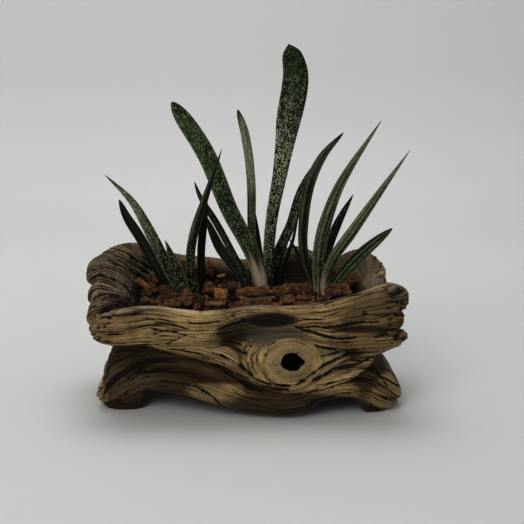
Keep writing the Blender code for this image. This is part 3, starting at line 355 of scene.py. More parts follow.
# Noises over the planter: the size of their bumps and a seed. The wobbles of cracks and of the
# lip's grooves add two noises, each with its size, strength and seed.
WANDER_REACH = 0.8
WANDER = ((34, 34, 13), 3)
BUSY = ((30, 24, 12), 8)
SWELL = ((24, 24, 9), 21)
RIDGES = ((50, 50, 3.6), 25)
PITS = ((3.0, 2.6, 2.6), 31)
CRACK_WOBBLE = ((2.2, 0.4, 41), (6.0, 0.5, 42))
LIP_WANDER = ((7.0, 0.9, 71), (2.6, 0.4, 72))
CRACK_END_WIDTH = 0.2
CRACK_SWELL = 0.5
CRACK_SHARP = 0.6
CRACK_MOST_WOBBLE = 1.2

# Painted shade in hollows and inside the rim, dark wash on lips: strength, where it begins or ends
RECESS_PAINTED_SHADE = 0.45
RECESS_REACH = (1, 13)
RECESS_BOTTOM = (28, 12)
INNER_PAINTED_SHADE = 0.85
INNER_SHADE = (0, 4)
INNER_TOP = 72.0
INNER_BACK = (20, 10)
INNER_BACK_ENDS = ((66, 8), (-58, 10))
INNER_BACK_DROP = 4
INNER_FADE = 6
RIGHT_LIP_STAIN = 0.4
RIGHT_LIP = (50, 10)
LEFT_LIP_STAIN = 0.28
LEFT_LIP_TOP = (70, 6)
LEFT_LIP_END = (-84, 6)
# Warm paint below the rim of the front, greyer at the upper left
LEAST_WARM = 0.25
WARM_TOP = 76
WARM_RISE = 12
WARM_RISE_LENGTH = 60
WARM_FADE = 12
GREY_LEFT = 0.3
GREY_LEFT_FROM = (-55, 30)
GREY_LEFT_BOTTOM = (66, 5)

Surface = namedtuple("Surface", "facing front crest inward over turning wander grain flow turned"
                                " knot on_knot")
NOISE_PRIMES = (374761393, 668265263, 2147483647, 1274126177)

# Stems: middle and half sizes
STEMS = {
    "crown_left": (-40.2, 7.0, 15.0, 9.5),
    "crown_middle": (8.0, 12.0, 15.0, 11.0),
    "crown_right": (48.0, 9.5, 12.0, 10.5),
}
STEM_SQUARENESS = 3.0
STEM_HOLE_BOTTOM = 48.0
STEM_TOP = 60.2
STEM_INSET = 0.4
STEM_DOME = 1.2
STEM_DOME_ROWS = 8
STEM_SOLE_ROWS = 4
STEM_COLUMNS = 48
STEM_ROWS = 24
SCAR_DEPTH = 0.35
SCAR_PACE = 2.4
LEAF_BASE = STEM_TOP + GAP
MULCH_BOTTOM = 58.35
MULCH_TOP = 62.6

Leaf = namedtuple("Leaf", "path width fullest base blunt facing twist")
Ring = namedtuple("Ring", "middle side face half thick")
Look = namedtuple("Look", "ground dots frost margin pale_base bands")

# Leaves: middle line, greatest width, where it lies, the base's share, bluntness, facing, twist
LEAF_SHAPES = {
    "leaf_left_1": ([(-45, 7, LEAF_BASE), (-46.5, 6, 70), (-52, 3, 81.5), (-65.5, -7.5, 113.5),
                     (-74.3, -13.5, 130.5), (-90, -20, 148)], 7.5, 0.4, 0.95, 1.6, 12, 14),
    "leaf_left_2": ([(-49.5, 11.5, LEAF_BASE), (-51, 11.8, 69), (-57.5, 13, 75.5),
                     (-72, 19.5, 100.5), (-81, 23.5, 114), (-86, 26, 125)],
                    6.9, 0.6, 0.85, 3.0, -8, -10),
    "leaf_left_3": ([(-43, 2.5, LEAF_BASE), (-42.5, 2.2, 70), (-44.5, -0.5, 79),
                     (-49.5, -6.5, 93), (-53.5, -12, 105)], 7.0, 0.35, 0.9, 1.7, 10, 8),
    "leaf_left_4": ([(-35, 7, LEAF_BASE), (-36.5, 6.8, 71), (-38.5, 3.5, 84), (-36, -2.5, 105),
                     (-28.5, -9.5, 129), (-16.5, -20, 164)], 6.2, 0.4, 0.9, 1.7, -14, -25),
    "leaf_left_5": ([(-30, 11.5, LEAF_BASE), (-31, 11, 72), (-31.3, 7.8, 94), (-29, 4.8, 115.5),
                     (-27, 3, 127)], 5.2, 0.6, 0.9, 2.6, 0, 8),
    "leaf_middle_1": ([(8.5, 6, LEAF_BASE), (7, 6.4, 76), (1, 8.7, 94), (-12.5, 12.2, 119.5),
                       (-28.5, 17.4, 157), (-50, 22, 189.5)], 12.0, 0.7, 0.8, 5.0, 6, 4),
    "leaf_middle_2": ([(5, 14.5, LEAF_BASE), (4.5, 15.5, 78), (1.8, 20, 103), (1.3, 26.5, 137),
                       (-2.2, 32.5, 165.5), (-7.5, 36, 183.5)], 6.0, 0.75, 0.85, 4.0, -10, -6),
    "leaf_middle_3": ([(8.5, 18.6, LEAF_BASE), (8.2, 19.6, 78), (6.3, 25, 96), (4.3, 32, 115)],
                      3.8, 0.5, 0.9, 1.6, 0, 0),
    "leaf_middle_4": ([(11.5, 10.5, LEAF_BASE), (12.3, 9.8, 85), (14.5, 8.2, 114),
                       (20, 6.6, 145), (25, 4.8, 177.5), (29.5, 3.2, 207), (25, 2, 227)],
                      17.0, 0.84, 0.42, 2.2, 4, 6),
    "leaf_middle_5": ([(0, 6.5, LEAF_BASE), (-1.5, 7, 75), (-8.5, 9.4, 87.5), (-21, 15.2, 110),
                       (-32, 19.6, 127.5), (-36, 22, 137.5)], 4.8, 0.6, 0.9, 2.2, 10, 10),
    "leaf_middle_6": ([(-1.5, 11, LEAF_BASE), (-3.5, 12, 73), (-12.5, 17.5, 84.5),
                       (-20, 22.2, 94), (-29.5, 32, 113.5)], 6.8, 0.5, 0.85, 2.2, 0, 8),
    "leaf_middle_7": ([(13, 14.8, LEAF_BASE), (13.8, 16, 73), (17.5, 19, 87), (27.8, 24, 108.5),
                       (35, 29.2, 130.5), (46, 34, 151)], 6.8, 0.6, 0.9, 2.0, 0, -10),
    "leaf_middle_8": ([(19, 15.6, LEAF_BASE), (20, 15.4, 69), (24, 13.5, 86), (29, 11.2, 102),
                       (33, 8, 125)], 2.8, 0.4, 0.95, 1.2, 0, 0),
    "leaf_middle_9": ([(15.5, 19.4, LEAF_BASE), (16.5, 20.4, 74), (20, 24, 85), (26, 29, 95)],
                      5.0, 0.5, 0.9, 1.6, 0, 0),
    "leaf_right_1": ([(42, 11.5, LEAF_BASE), (42.2, 11.4, 71), (37, 10, 86), (34.8, 5.5, 104.5),
                      (38, -1.8, 136.5), (46.5, -4.8, 157), (59.5, -8, 172.5)],
                     7.2, 0.66, 0.7, 2.0, 8, 10),
    "leaf_right_2": ([(45.5, 7.4, LEAF_BASE), (45.3, 6.9, 73), (45.2, 5, 91), (49, 2.5, 112.5),
                      (59, -0.8, 140), (84, -6, 181)], 8.5, 0.36, 0.85, 1.3, -8, -12),
    "leaf_right_3": ([(48.5, 12, LEAF_BASE), (49.5, 13, 74), (52.2, 18.5, 93), (59, 24, 109.5),
                      (69.5, 30, 128)], 6.2, 0.55, 0.85, 1.9, 0, -10),
    "leaf_right_4": ([(49, 3.3, LEAF_BASE), (49, 2.8, 73), (53.5, -1.2, 89), (66.5, -6.8, 110),
                      (82, -13.8, 135), (100, -22, 163.5)], 7.0, 0.4, 0.8, 1.35, -10, -14),
    "leaf_right_5": ([(54, 7.5, LEAF_BASE), (55.2, 7.8, 69), (60, 8.8, 76.5), (71.5, 10.8, 89),
                      (82, 12.4, 98), (94, 14, 107.5)], 8.0, 0.5, 0.85, 2.4, -6, -6),
    "leaf_right_6": ([(40.5, 16.2, LEAF_BASE), (40, 17, 72), (35.7, 19.6, 81), (31, 23.1, 91.5),
                      (25.3, 26, 100.5)], 3.2, 0.5, 0.95, 1.3, 0, 0),
}
LEAVES = {name: Leaf(*shape) for name, shape in LEAF_SHAPES.items()}
# The tallest leaf is slim below and broad near its tip: shares of its width along it
TALL_LEAF = "leaf_middle_4"
TALL_LEAF_WIDTHS = [(0, 0.44), (0.3, 0.45), (0.5, 0.56), (0.62, 0.74), (0.72, 0.95), (0.8, 1.0),
                    (0.87, 0.97), (0.93, 0.85), (0.97, 0.62), (1.0, 0.0)]
LEAF_THICKNESS = 3.0
LEAF_TIP_THICKNESS = 1.2
LEAF_THICKEST_SHARE = 0.62
LEAF_SIDE_ROUNDNESS = 0.85
LEAF_FACE_ROUNDNESS = 0.9
LEAF_CUP = 0.07
LEAF_RIPPLE = 0.12
LEAF_UPRIGHT_SHARE = 0.12
LEAF_TURN_SHARE = 0.33
RING_CROWDING = 1.35
BLUNT_FROM = 2
TIP_POWER_SLIM = 0.9
TIP_POWER_BLUNT = 0.7
LEAF_COLUMNS = 32
LEAF_ROWS = 72
# Steps that give each face and each leaf dots of its own
DOTS_FACE_STEP = 20.0
DOTS_LEAF_STEP = 45.0

# Leaf colours as the shader's own values
DARK_GREEN = (0.011, 0.019, 0.008)
DEEP_GREEN = (0.024, 0.042, 0.016)
MID_GREEN = (0.070, 0.108, 0.042)
GREY_GREEN = (0.130, 0.155, 0.082)
PALE_GREEN = (0.310, 0.335, 0.205)
SAGE_GREEN = (0.185, 0.215, 0.115)
MAUVE_BASE = (0.560, 0.430, 0.320)
GREEN_DOTS = (0.165, 0.215, 0.090)
FROST_DOTS = (0.490, 0.520, 0.370)

# How each leaf is coloured: its ground, dots, their frost, margin's paleness, how far up the pale
# base reaches, and lengthwise bands as (middle from -1 at the left margin to 1, half width,
# colour, strength, from, to). Dots and frost are one share, or shares along the leaf.
LOOKS = {
    "leaf_left_1": (DEEP_GREEN, 0.75, 0.85, 0.7, 0.02,
                    [(-0.3, 0.8, GREY_GREEN, 0.9, 0.4, 1.0),
                     (0.0, 1.0, PALE_GREEN, 0.35, 0.62, 1.0),
                     (-0.8, 0.3, GREY_GREEN, 0.8, 0.05, 0.5)]),
    "leaf_left_2": (DARK_GREEN, 0.3, 0.2, 0.25, 0.02, []),
    "leaf_left_3": (DEEP_GREEN, 0.72, 0.85, 0.7, 0.02, [(0.8, 0.25, PALE_GREEN, 0.4, 0.0, 0.9)]),
    "leaf_left_4": (DARK_GREEN, ((0, 0.85), (0.4, 0.6), (0.6, 0.2), (1, 0.0)), 0.6, 0.3, 0.02,
                    [(-0.45, 0.45, GREY_GREEN, 0.9, 0.42, 0.97),
                     (-0.75, 0.22, GREY_GREEN, 0.7, 0.0, 0.5)]),
    "leaf_left_5": (DARK_GREEN, 0.3, 0.1, 0.1, 0.02, []),
    "leaf_middle_1": (DEEP_GREEN, ((0, 0.7), (0.3, 0.8), (1, 0.75)), 0.25, 0.4, 0.2,
                      [(-0.6, 0.35, MID_GREEN, 0.5, 0.5, 1.0),
                       (0.0, 1.0, MID_GREEN, 0.6, 0.78, 1.0),
                       (0.85, 0.2, GREY_GREEN, 0.6, 0.1, 0.9),
                       (-0.85, 0.16, GREY_GREEN, 0.5, 0.1, 0.7)]),
    "leaf_middle_2": (DEEP_GREEN, ((0, 0.8), (0.35, 0.8), (0.55, 0.2), (1, 0.1)), 0.5, 0.3, 0.05,
                      [(0.2, 0.7, GREY_GREEN, 0.9, 0.4, 1.0),
                       (0.0, 1.0, PALE_GREEN, 1.0, 0.58, 1.0),
                       (0.7, 0.2, GREY_GREEN, 0.8, 0.05, 0.6)]),
    "leaf_middle_3": (DARK_GREEN, 0.3, 0.2, 0.3, 0.02, []),
    "leaf_middle_4": (DEEP_GREEN, ((0, 0.75), (0.3, 0.8), (0.55, 1.0), (0.75, 0.8), (1, 0.55)),
                      ((0, 0.6), (0.35, 0.8), (0.55, 1.0), (0.72, 0.65), (0.85, 0.4), (1, 0.3)),
                      0.1, 0.04,
                      [(-0.6, 0.35, GREY_GREEN, 0.8, 0.0, 0.42),
                       (0.35, 0.5, DARK_GREEN, 0.8, 0.0, 0.42),
                       (0.35, 0.45, GREY_GREEN, 0.7, 0.44, 0.7),
                       (0.12, 0.07, GREY_GREEN, 0.8, 0.6, 0.92),
                       (-0.2, 0.07, GREY_GREEN, 0.7, 0.62, 0.94),
                       (-0.88, 0.17, DARK_GREEN, 0.9, 0.4, 1.0),
                       (0.9, 0.16, DARK_GREEN, 0.85, 0.4, 1.0)]),
    "leaf_middle_5": (DARK_GREEN, 0.5, 0.4, 0.45, 0.03, [(-0.3, 0.3, MID_GREEN, 0.7, 0.3, 1.0)]),
    "leaf_middle_6": (DARK_GREEN, 0.35, 0.2, 0.3, 0.03, [(0.5, 0.2, MID_GREEN, 0.6, 0.0, 0.8)]),
    "leaf_middle_7": (DARK_GREEN, 0.7, 0.7, 0.1, 0.03, [(0.5, 0.25, GREY_GREEN, 0.6, 0.4, 1.0)]),
    "leaf_middle_8": (DARK_GREEN, 0.2, 0.1, 0.0, 0.03, []),
    "leaf_middle_9": (DARK_GREEN, 0.3, 0.1, 0.3, 0.03, []),
    "leaf_right_1": (DEEP_GREEN, 0.35, 0.4, 0.35, 0.04,
                     [(-0.55, 0.2, GREY_GREEN, 0.95, 0.0, 0.95),
                      (0.1, 0.3, DARK_GREEN, 0.9, 0.0, 0.9),
                      (0.65, 0.2, GREY_GREEN, 0.9, 0.1, 0.97),
                      (0.0, 1.0, GREY_GREEN, 0.5, 0.72, 1.0)]),
    "leaf_right_2": (SAGE_GREEN, 0.5, 0.7, 0.5, 0.08,
                     [(-0.42, 0.15, DARK_GREEN, 1.0, 0.0, 0.8),
                      (0.0, 0.16, PALE_GREEN, 0.35, 0.0, 0.9),
                      (0.38, 0.15, DARK_GREEN, 1.0, 0.0, 0.85),
                      (0.75, 0.12, DEEP_GREEN, 0.8, 0.05, 0.6)]),
    "leaf_right_3": (DARK_GREEN, 0.55, 0.4, 0.2, 0.03, []),
    "leaf_right_4": (SAGE_GREEN, 0.45, 0.7, 0.5, 0.14,
                     [(0.0, 1.0, PALE_GREEN, 0.4, 0.3, 1.0),
                      (-0.6, 0.2, PALE_GREEN, 0.45, 0.0, 0.9),
                      (-0.15, 0.13, DARK_GREEN, 0.9, 0.05, 0.8),
                      (0.15, 0.12, PALE_GREEN, 0.35, 0.0, 0.9),
                      (0.5, 0.15, DARK_GREEN, 1.0, 0.0, 0.85)]),
    "leaf_right_5": (MID_GREEN, 0.3, 0.4, 0.55, 0.03,
                     [(-0.55, 0.14, DARK_GREEN, 0.95, 0.0, 0.9),
                      (-0.2, 0.17, PALE_GREEN, 0.8, 0.0, 0.9),
                      (0.15, 0.15, DARK_GREEN, 0.95, 0.02, 0.95),
                      (0.5, 0.17, PALE_GREEN, 0.6, 0.0, 0.9)]),
    "leaf_right_6": (DARK_GREEN, 0.2, 0.1, 0.3, 0.03, []),
}
LEAF_LOOKS = {name: Look(*look) for name, look in LOOKS.items()}
NARROW_BASES = {"leaf_middle_1": 0.75, "leaf_right_2": 0.6, "leaf_right_4": 0.6}
NARROW_BASE_REACH = 0.13
# Where a leaf's bands, margin, base and dots begin or end, as shares of its length or width
BAND_START = (0.06, 0.08)
BAND_END = 0.12
MARGIN_START = (0.88, 0.07)
MARGIN_END = (0.96, 0.1)
BASE_EDGE = 0.12
BASE_MIDDLE = (0.4, 0.5)
DOTS_START = (0.04, 0.1)

# Driftwood, bark, soil and stem colours as the shader's own values
DARK_OCHRE = (0.290, 0.195, 0.090)
LIGHT_OCHRE = (0.630, 0.475, 0.240)
DARK_GREY = (0.110, 0.091, 0.070)
LIGHT_GREY = (0.360, 0.310, 0.240)
RUSSET = (0.185, 0.102, 0.046)
SUNLIT_OCHRE = (0.720, 0.570, 0.300)
KNOT_TAN = (0.255, 0.200, 0.106)
LIP_BROWN = (0.120, 0.098, 0.074)
# Painted light over the left foot, from brown to gold
PAINTED_LIGHT_BROWN = (0.300, 0.170, 0.075)
PAINTED_LIGHT_GOLD = (0.950, 0.700, 0.360)
COOL_SLATE = (0.045, 0.041, 0.037)
COOL_GREY = (0.120, 0.110, 0.098)
# Dark wash and painted shade, brown and black
STAIN_AND_SHADE_BROWN = (0.085, 0.046, 0.022)
STAIN_AND_SHADE_BLACK = (0.012, 0.010, 0.008)
WASH_BLACK = (0.018, 0.012, 0.008)
HOLE_BLACK = (0.006, 0.004, 0.003)
DEEP_BARK = (0.009, 0.004, 0.002)
BROWN_BARK = (0.048, 0.021, 0.012)
RED_BARK = (0.075, 0.032, 0.018)
BRIGHT_BARK = (0.300, 0.132, 0.066)
# Paler broken rims of the chips, partly a painted highlight
BARK_EDGE_HIGHLIGHT = (0.480, 0.255, 0.130)
TAN_BARK = (0.400, 0.225, 0.085)
# Black of the cracks, and of the painted shade low on the chips and on the bed
CRACK_AND_SHADE_BARK = (0.006, 0.003, 0.002)
OLIVE_CAST = (0.78, 0.94, 0.85)
LEAF_SHADE = (0.28, 0.28, 0.28)
DARK_SOIL = (0.010, 0.007, 0.005)
BROWN_SOIL = (0.060, 0.040, 0.026)
DARK_STEM = (0.070, 0.050, 0.034)
PALE_STEM = (0.200, 0.165, 0.120)
BACKDROP_DARK = (0.735, 0.740, 0.735)
BACKDROP_LIGHT = (0.770, 0.775, 0.770)
SKY = (0.95, 0.97, 0.98, 1.0)

# Painted grain lines: spacing, width, sway and how rarely they start
BROAD_LINES = (5.2, 0.6, 3.5, 0.48)
FINE_LINES = (2.4, 0.4, 4.5, 0.45)
HAIR_LINES = (1.25, 0.3, 6.0, 0.42)
LIP_LINES = (1.55, 0.5, 4.0, 0.34)

# Bark chips that show one by one: place, length, width, turn, lean to the front, lean to the
# right, and tone from 0 dark to 1 bright
SHOWN_CHIPS = [
    ((3, -5, 69), 24, 7.5, 6, 30, -4, 1.0), ((4, -20, 66.6), 22, 6.5, 3, 22, 0, 0.85),
    ((-1.5, 27, 67.5), 12, 10, -6, 26, 0, 0.35), ((19.5, 0.5, 68.4), 11, 8, 14, 42, -10, 0.75),
    ((34, 11, 68), 19, 11, -5, 30, 4, 0.6), ((24, -20.5, 67.6), 9, 9, 20, 26, -8, 1.0),
    ((36, -12.5, 67), 13, 6, -4, 14, 4, 0.85), ((57.3, 2.5, 68.6), 16, 13, 8, 30, 6, 0.85),
    ((46.7, -20, 67.5), 9, 8, 20, 22, 8, 0.45), ((36, -30.5, 67.3), 17, 6, -3, 20, -4, 0.9),
    ((68, 31, 69), 10, 8, 40, 42, -20, 0.9), ((-69.8, 17, 69.3), 11.5, 4, -24, 34, 20, 1.18),
    ((-65.5, 0, 67.6), 10, 6, 24, 38, -10, 0.25), ((-54, 3, 68), 10, 8, 12, 34, 0, 0.55),
    ((-52.5, -9.5, 67), 12, 7, 22, 36, -6, 0.35), ((-48, -30, 67.2), 10, 7, 5, 28, 4, 0.95),
    ((-66, -19.5, 67), 5, 4, 30, 32, 0, 1.0), ((-40.4, -3, 68.4), 6, 6, 20, 44, 0, 1.05),
    ((-40.5, -24.5, 67.6), 8, 9, 80, 36, -6, 0.9), ((-31.5, -24.5, 68), 9.5, 11, 85, 42, 4, 0.2),
    ((-18.5, -9, 68.6), 8, 8, 3, 54, 0, 1.35), ((-26, 7, 69), 7.5, 10, 80, 46, 6, 0.6),
    # The chips at (-45.4, 42) and (-27.8, 41.5), by the back wall, are toned up as painted light
    # against their shade
    ((-21, -31, 67.5), 12, 5, 2, 26, 0, 1.05), ((-45.4, 42, 76), 9, 8, 8, 78, 0, 1.05),
    ((-27.8, 41.5, 74), 12, 6, 88, 80, 0, 1.05), ((-19.3, 38, 70.5), 5.5, 3, 15, 40, 0, 1.4),
    ((-8, -33, 67.2), 10, 6, 30, 30, 6, 0.4), ((14, -33, 67), 12, 6, -6, 20, 0, 0.7),
    ((-60, -16, 66.6), 9, 7, 34, 14, 8, 0.5), ((41, -3, 66.4), 12, 8, 30, 0, 12, 0.3),
    ((-22, -20, 66.6), 10, 8, 40, 10, 8, 0.3), ((-14, 22, 67), 12, 8, 25, 26, 0, 0.35),
]
# Open gaps between the chips, down to the bed in painted shade: place and radius
CHIP_GAPS = [(-2, -13, 6), (9, -13, 6), (33, -22, 7), (72, 20, 9), (-60, -7, 6),
             (-13, -20, 5), (7, -27, 4), (-12, 8, 8), (24, 26, 12), (-20, 34, 10)]
CHIP_SEED = 29
CHIP_CUTS = 5
CHIP_CROWDING = 0.45
CHIP_CRISP_ANGLE = math.radians(28)
# Ranges that a chip's shape is drawn from, and the unevenness of shown and of loose chips
CHIP_SQUARENESS = (0.1, 0.55)
CHIP_THICKNESS = (0.7, 1.5)
CHIP_CROSS_BEND = (-0.16, 0.26)
CHIP_LONG_BEND = (-0.16, 0.16)
SHOWN_ROUGHNESS = 0.45
LOOSE_ROUGHNESS = 0.6
# Loose chips: how many, then what they are drawn from
LOOSE_CHIPS = 320
LOOSE_LEAST_LENGTH = 3.5
LOOSE_MORE_LENGTH = 11.0
LOOSE_LENGTH_SKEW = 1.6
LOOSE_WIDTH = (0.3, 0.75)
LOOSE_RISE = (-1.0, 3.2)
LOOSE_PITCH = (-12, 38)
LOOSE_ROLL = (-24, 24)
LOOSE_TONE = (0.28, 0.38)
WALL_NEARNESS = 0.15
# A loose chip in a gap or below a shown chip lies lower, one beside a leaf lower and smaller
GAP_DROP = 0.8
LEAF_NEARNESS = 0.32
LEAF_DROP = 2.2
LEAF_SHRINK = 0.7
LEAF_LOW_SPAN = 0.03
LEAF_LOW_STEPS = 8
LEAF_LOW_TOP = 72
# The bed under the chips
BED_COLUMNS = 150
BED_ROWS = 44
BED_SOLE_ROWS = 3
BED_DROP = 0.6
BED_LUMPS = (((4.5, 4.5, 9), 1.3, 61), ((2.0, 2.0, 4), 0.7, 62))
BED_TONE = -0.2


def to_frame(places):
    """Places in metres in the part's frame, from millimetres in the planter's own frame."""
    return (np.asarray(places) + CENTRE_SHIFT) * MM


def from_frame(places):
    """Places in millimetres in the planter's own frame, from metres in the part's frame."""
    return np.asarray(places) / MM - CENTRE_SHIFT


def smooth(share):
    """From 0 to 1 with a soft start and end, level beyond them."""
    share = np.clip(share, 0.0, 1.0)
    return share * share * (3.0 - 2.0 * share)


def blend(low, high, share):
    """The value at a share of the way from low to high."""
    return low + (high - low) * share


def ramp(value, start, length):
    """0 up to start, and 1 from start + length on."""
    return smooth((value - start) / length)


def fade(value, end, length):
    """1 up to end - length, and 0 from end on."""
    return smooth((end - value) / length)


def follow(points, at):
    """Height of the smooth curve through (place, height) points, level past its ends."""
    places, heights = np.array(points, float).T
    slopes = np.empty(len(places))
    slopes[1:-1] = (heights[2:] - heights[:-2]) / (places[2:] - places[:-2])
    slopes[0] = (heights[1] - heights[0]) / (places[1] - places[0])
    slopes[-1] = (heights[-1] - heights[-2]) / (places[-1] - places[-2])
    at = np.clip(at, places[0], places[-1])
    index = np.clip(np.searchsorted(places, at) - 1, 0, len(places) - 2)
    run = places[index + 1] - places[index]
    t = (at - places[index]) / run
    return (heights[index] * (1 + 2 * t) * (1 - t) ** 2 + slopes[index] * run * t * (1 - t) ** 2
            + heights[index + 1] * t * t * (3 - 2 * t) + slopes[index + 1] * run * t * t * (t - 1))


def soft_highest(levels):
    """The highest of several levels, with the valleys between them rounded."""
    levels = np.array(np.broadcast_arrays(*levels))
    top = levels.max(axis=0)
    total = np.exp(BLEND_SHARPNESS * (levels - top)).sum(axis=0)
    return top + np.log(total) / BLEND_SHARPNESS


def noise(places, seed):
    """Smooth random value from about -1 to 1 at each place, one bump a unit."""
    prime_x, prime_y, prime_z, prime_seed = NOISE_PRIMES
    cell = np.floor(places).astype(np.int64)
    part = places - cell
    eased = part * part * part * (part * (part * 6 - 15) + 10)
    total = np.zeros(len(places))
    for corner in np.ndindex(2, 2, 2):
        corner = np.array(corner)
        spot = cell + corner
        mixed = (spot[:, 0] * prime_x + spot[:, 1] * prime_y + spot[:, 2] * prime_z
                 + seed * prime_seed)
        mixed = (mixed ^ (mixed >> 13)) * prime_seed
        mixed = mixed ^ (mixed >> 16)
        angle = (mixed & 0xFFFF) / 65536 * math.tau
        lift = ((mixed >> 16) & 0xFFFF) / 32768 - 1
        flat = np.sqrt(1 - lift * lift)
        slope = np.stack((np.cos(angle) * flat, np.sin(angle) * flat, lift), axis=1)
        weight = np.where(corner == 1, eased, 1 - eased).prod(axis=1)
        total += weight * ((part - corner) * slope).sum(axis=1)
    return total * 1.6


def sized_noise(places, size, seed):
    """Noise with bumps of a size, which may differ along the axes."""
    return noise(places / size, seed)


def layered_noise(places, layers):
    """Several noises laid over each other, each with its bump size, strength and seed."""
    return sum(strength * sized_noise(places, size, seed) for size, strength, seed in layers)


def outline_stretches():
    """Length, angles at start and end, and corner shares of each stretch of the outline."""
    half_run = POT_HALF_LENGTH - POT_CORNER
    half_side = POT_HALF_DEPTH - POT_CORNER
    arc = math.pi / 2 * POT_CORNER
    return np.array([
        (half_run, -90, -90, 0, -1, 1, -1),
        (arc, -90, 0, 1, -1, 1, -1),
        (2 * half_side, 0, 0, 1, -1, 1, 1),
        (arc, 0, 90, 1, 1, 1, 1),
        (2 * half_run, 90, 90, 1, 1, -1, 1),
        (arc, 90, 180, -1, 1, -1, 1),
        (2 * half_side, 180, 180, -1, 1, -1, -1),
        (arc, 180, 270, -1, -1, -1, -1),
        (half_run, 270, 270, -1, -1, 0, -1),
    ], float)


STRETCHES = outline_stretches()
STRETCH_ENDS = np.cumsum(STRETCHES[:, 0])


def around(turn):
    """Corner shares and outward normal at turns from 0 to 1 round the outline."""
    run = np.mod(turn, 1.0) * STRETCH_ENDS[-1]
    index = np.clip(np.searchsorted(STRETCH_ENDS, run), 0, len(STRETCHES) - 1)
    length, angle0, angle1, x0, y0, x1, y1 = STRETCHES[index].T
    share = np.clip((run - (STRETCH_ENDS[index] - length)) / length, 0.0, 1.0)
    angle = np.radians(blend(angle0, angle1, share))
    return blend(x0, x1, share), blend(y0, y1, share), np.cos(angle), np.sin(angle)


def on_rectangle(turn, left, right, front, back, corner):
    """Places at turns round a rectangle with round corners."""
    across, along, normal_x, normal_y = around(turn)
    x = (left + right) / 2 + across * ((right - left) / 2 - corner) + corner * normal_x
    y = (front + back) / 2 + along * ((back - front) / 2 - corner) + corner * normal_y
    return x, y


def base_point(turn):
    """Places at turns round the planter's outline, from which all reaches are measured."""
    return on_rectangle(turn, -POT_HALF_LENGTH, POT_HALF_LENGTH, -POT_HALF_DEPTH, POT_HALF_DEPTH,
                        POT_CORNER)


def cavity(turn, height, shrink=0.0):
    """Inner wall of the planter at heights, drawn in by shrink."""
    share = np.clip((height - CAVITY_WAIST) / (CAVITY_MOUTH - CAVITY_WAIST), 0.0, 1.0)
    sizes = {key: blend(FLOOR[key], MOUTH[key], share) for key in FLOOR}
    return on_rectangle(turn, sizes["left"] + shrink, sizes["right"] - shrink,
                        sizes["front"] + shrink, sizes["back"] - shrink,
                        sizes["corner"] - shrink)


def place_round(x, y):
    """Angle round the planter, even along its outline, and the distance outside that outline."""
    run_x = POT_HALF_LENGTH - POT_CORNER
    run_y = POT_HALF_DEPTH - POT_CORNER
    side_x = np.maximum(np.abs(x) - run_x, 0.0)
    side_y = np.maximum(np.abs(y) - run_y, 0.0)
    corner = np.arctan2(side_x, side_y) * POT_CORNER
    arc = math.pi / 2 * POT_CORNER
    run = np.where(np.abs(x) <= run_x, np.abs(x), run_x + corner)
    on_end = (np.abs(x) > run_x) & (np.abs(y) <= run_y)
    whole = STRETCH_ENDS[-1] / 2
    run = np.where(y > 0, whole - run, run)
    run = np.where(on_end, run_x + arc + y + run_y, run)
    return np.sign(x) * run / whole * math.pi, np.hypot(side_x, side_y) - POT_CORNER


def front_reach(x, z):
    """How far the front's logs and knot stand out."""
    levels = [follow(FRONT_BACKGROUND, x)]
    for height, half, reach in FRONT_LOGS:
        thick = follow(half, x)
        away = np.abs((z - follow(height, x)) / thick)
        levels.append(follow(reach, x) - thick * away ** LOG_BLUNTNESS)
    knot = ((x - KNOT_X) / KNOT_HALF_LENGTH) ** 2 + ((z - KNOT_Z) / KNOT_HALF_HEIGHT) ** 2
    levels.append(KNOT_REACH - KNOT_FALL * knot)
    return soft_highest(levels)


def back_reach(x, z):
    """How far the back's rail and logs stand out."""
    half, reach = BACK_RAIL
    away = (z - follow(BACK_RIM, x) + BACK_RAIL_DROP) / half
    levels = [np.full_like(x, BACK_BACKGROUND), reach - half * away * away]
    for height, half, reach, slope in BACK_LOGS:
        away = np.abs((z - height - slope * x) / half)
        levels.append(reach - half * away ** LOG_BLUNTNESS)
    return soft_highest(levels)


def end_reach(ends, background, y, z):
    """How far the log ends of a short side stand out."""
    levels = [follow(background, z)]
    for end_y, end_z, half_y, half_z, reach in ends:
        away = ((y - end_y) / half_y) ** 2 + ((z - end_z) / half_z) ** 2
        levels.append(reach - min(half_y, half_z) * away ** (END_BLUNTNESS / 2))
    return soft_highest(levels)


def rim_height(turn):
    """Height of the rim's crest."""
    x, y = base_point(turn)
    normal_x, normal_y = around(turn)[2:]
    long_side = np.where(normal_y < 0, follow(FRONT_RIM, x), follow(BACK_RIM, x))
    left_side = follow(LEFT_RIM, y)
    for notch in LEFT_RIM_NOTCHES:
        left_side = left_side - NOTCH_DEPTH * np.exp(-(((y - notch) / NOTCH_WIDTH) ** 2))
    short_side = np.where(normal_x < 0, left_side, follow(RIGHT_RIM, y))
    return normal_y ** 2 * long_side + normal_x ** 2 * short_side


def crest_reach(turn):
    """How far the rim's crest stands out."""
    normal_x, normal_y = around(turn)[2:]
    end = np.where(normal_x < 0, CREST_REACH_LEFT, CREST_REACH_RIGHT)
    return normal_y ** 2 * CREST_REACH + normal_x ** 2 * end


def edge_height(turn):
    """Height of the lower edge, 0 where a foot stands."""
    x, y = base_point(turn)
    normal_x, normal_y = around(turn)[2:]
    long_side = np.where(normal_y < 0, follow(FRONT_EDGE, x), follow(BACK_EDGE, x))
    height = np.where(np.abs(normal_y) > np.abs(normal_x), long_side, follow(END_EDGE, y))
    return np.maximum(height, 0.0)


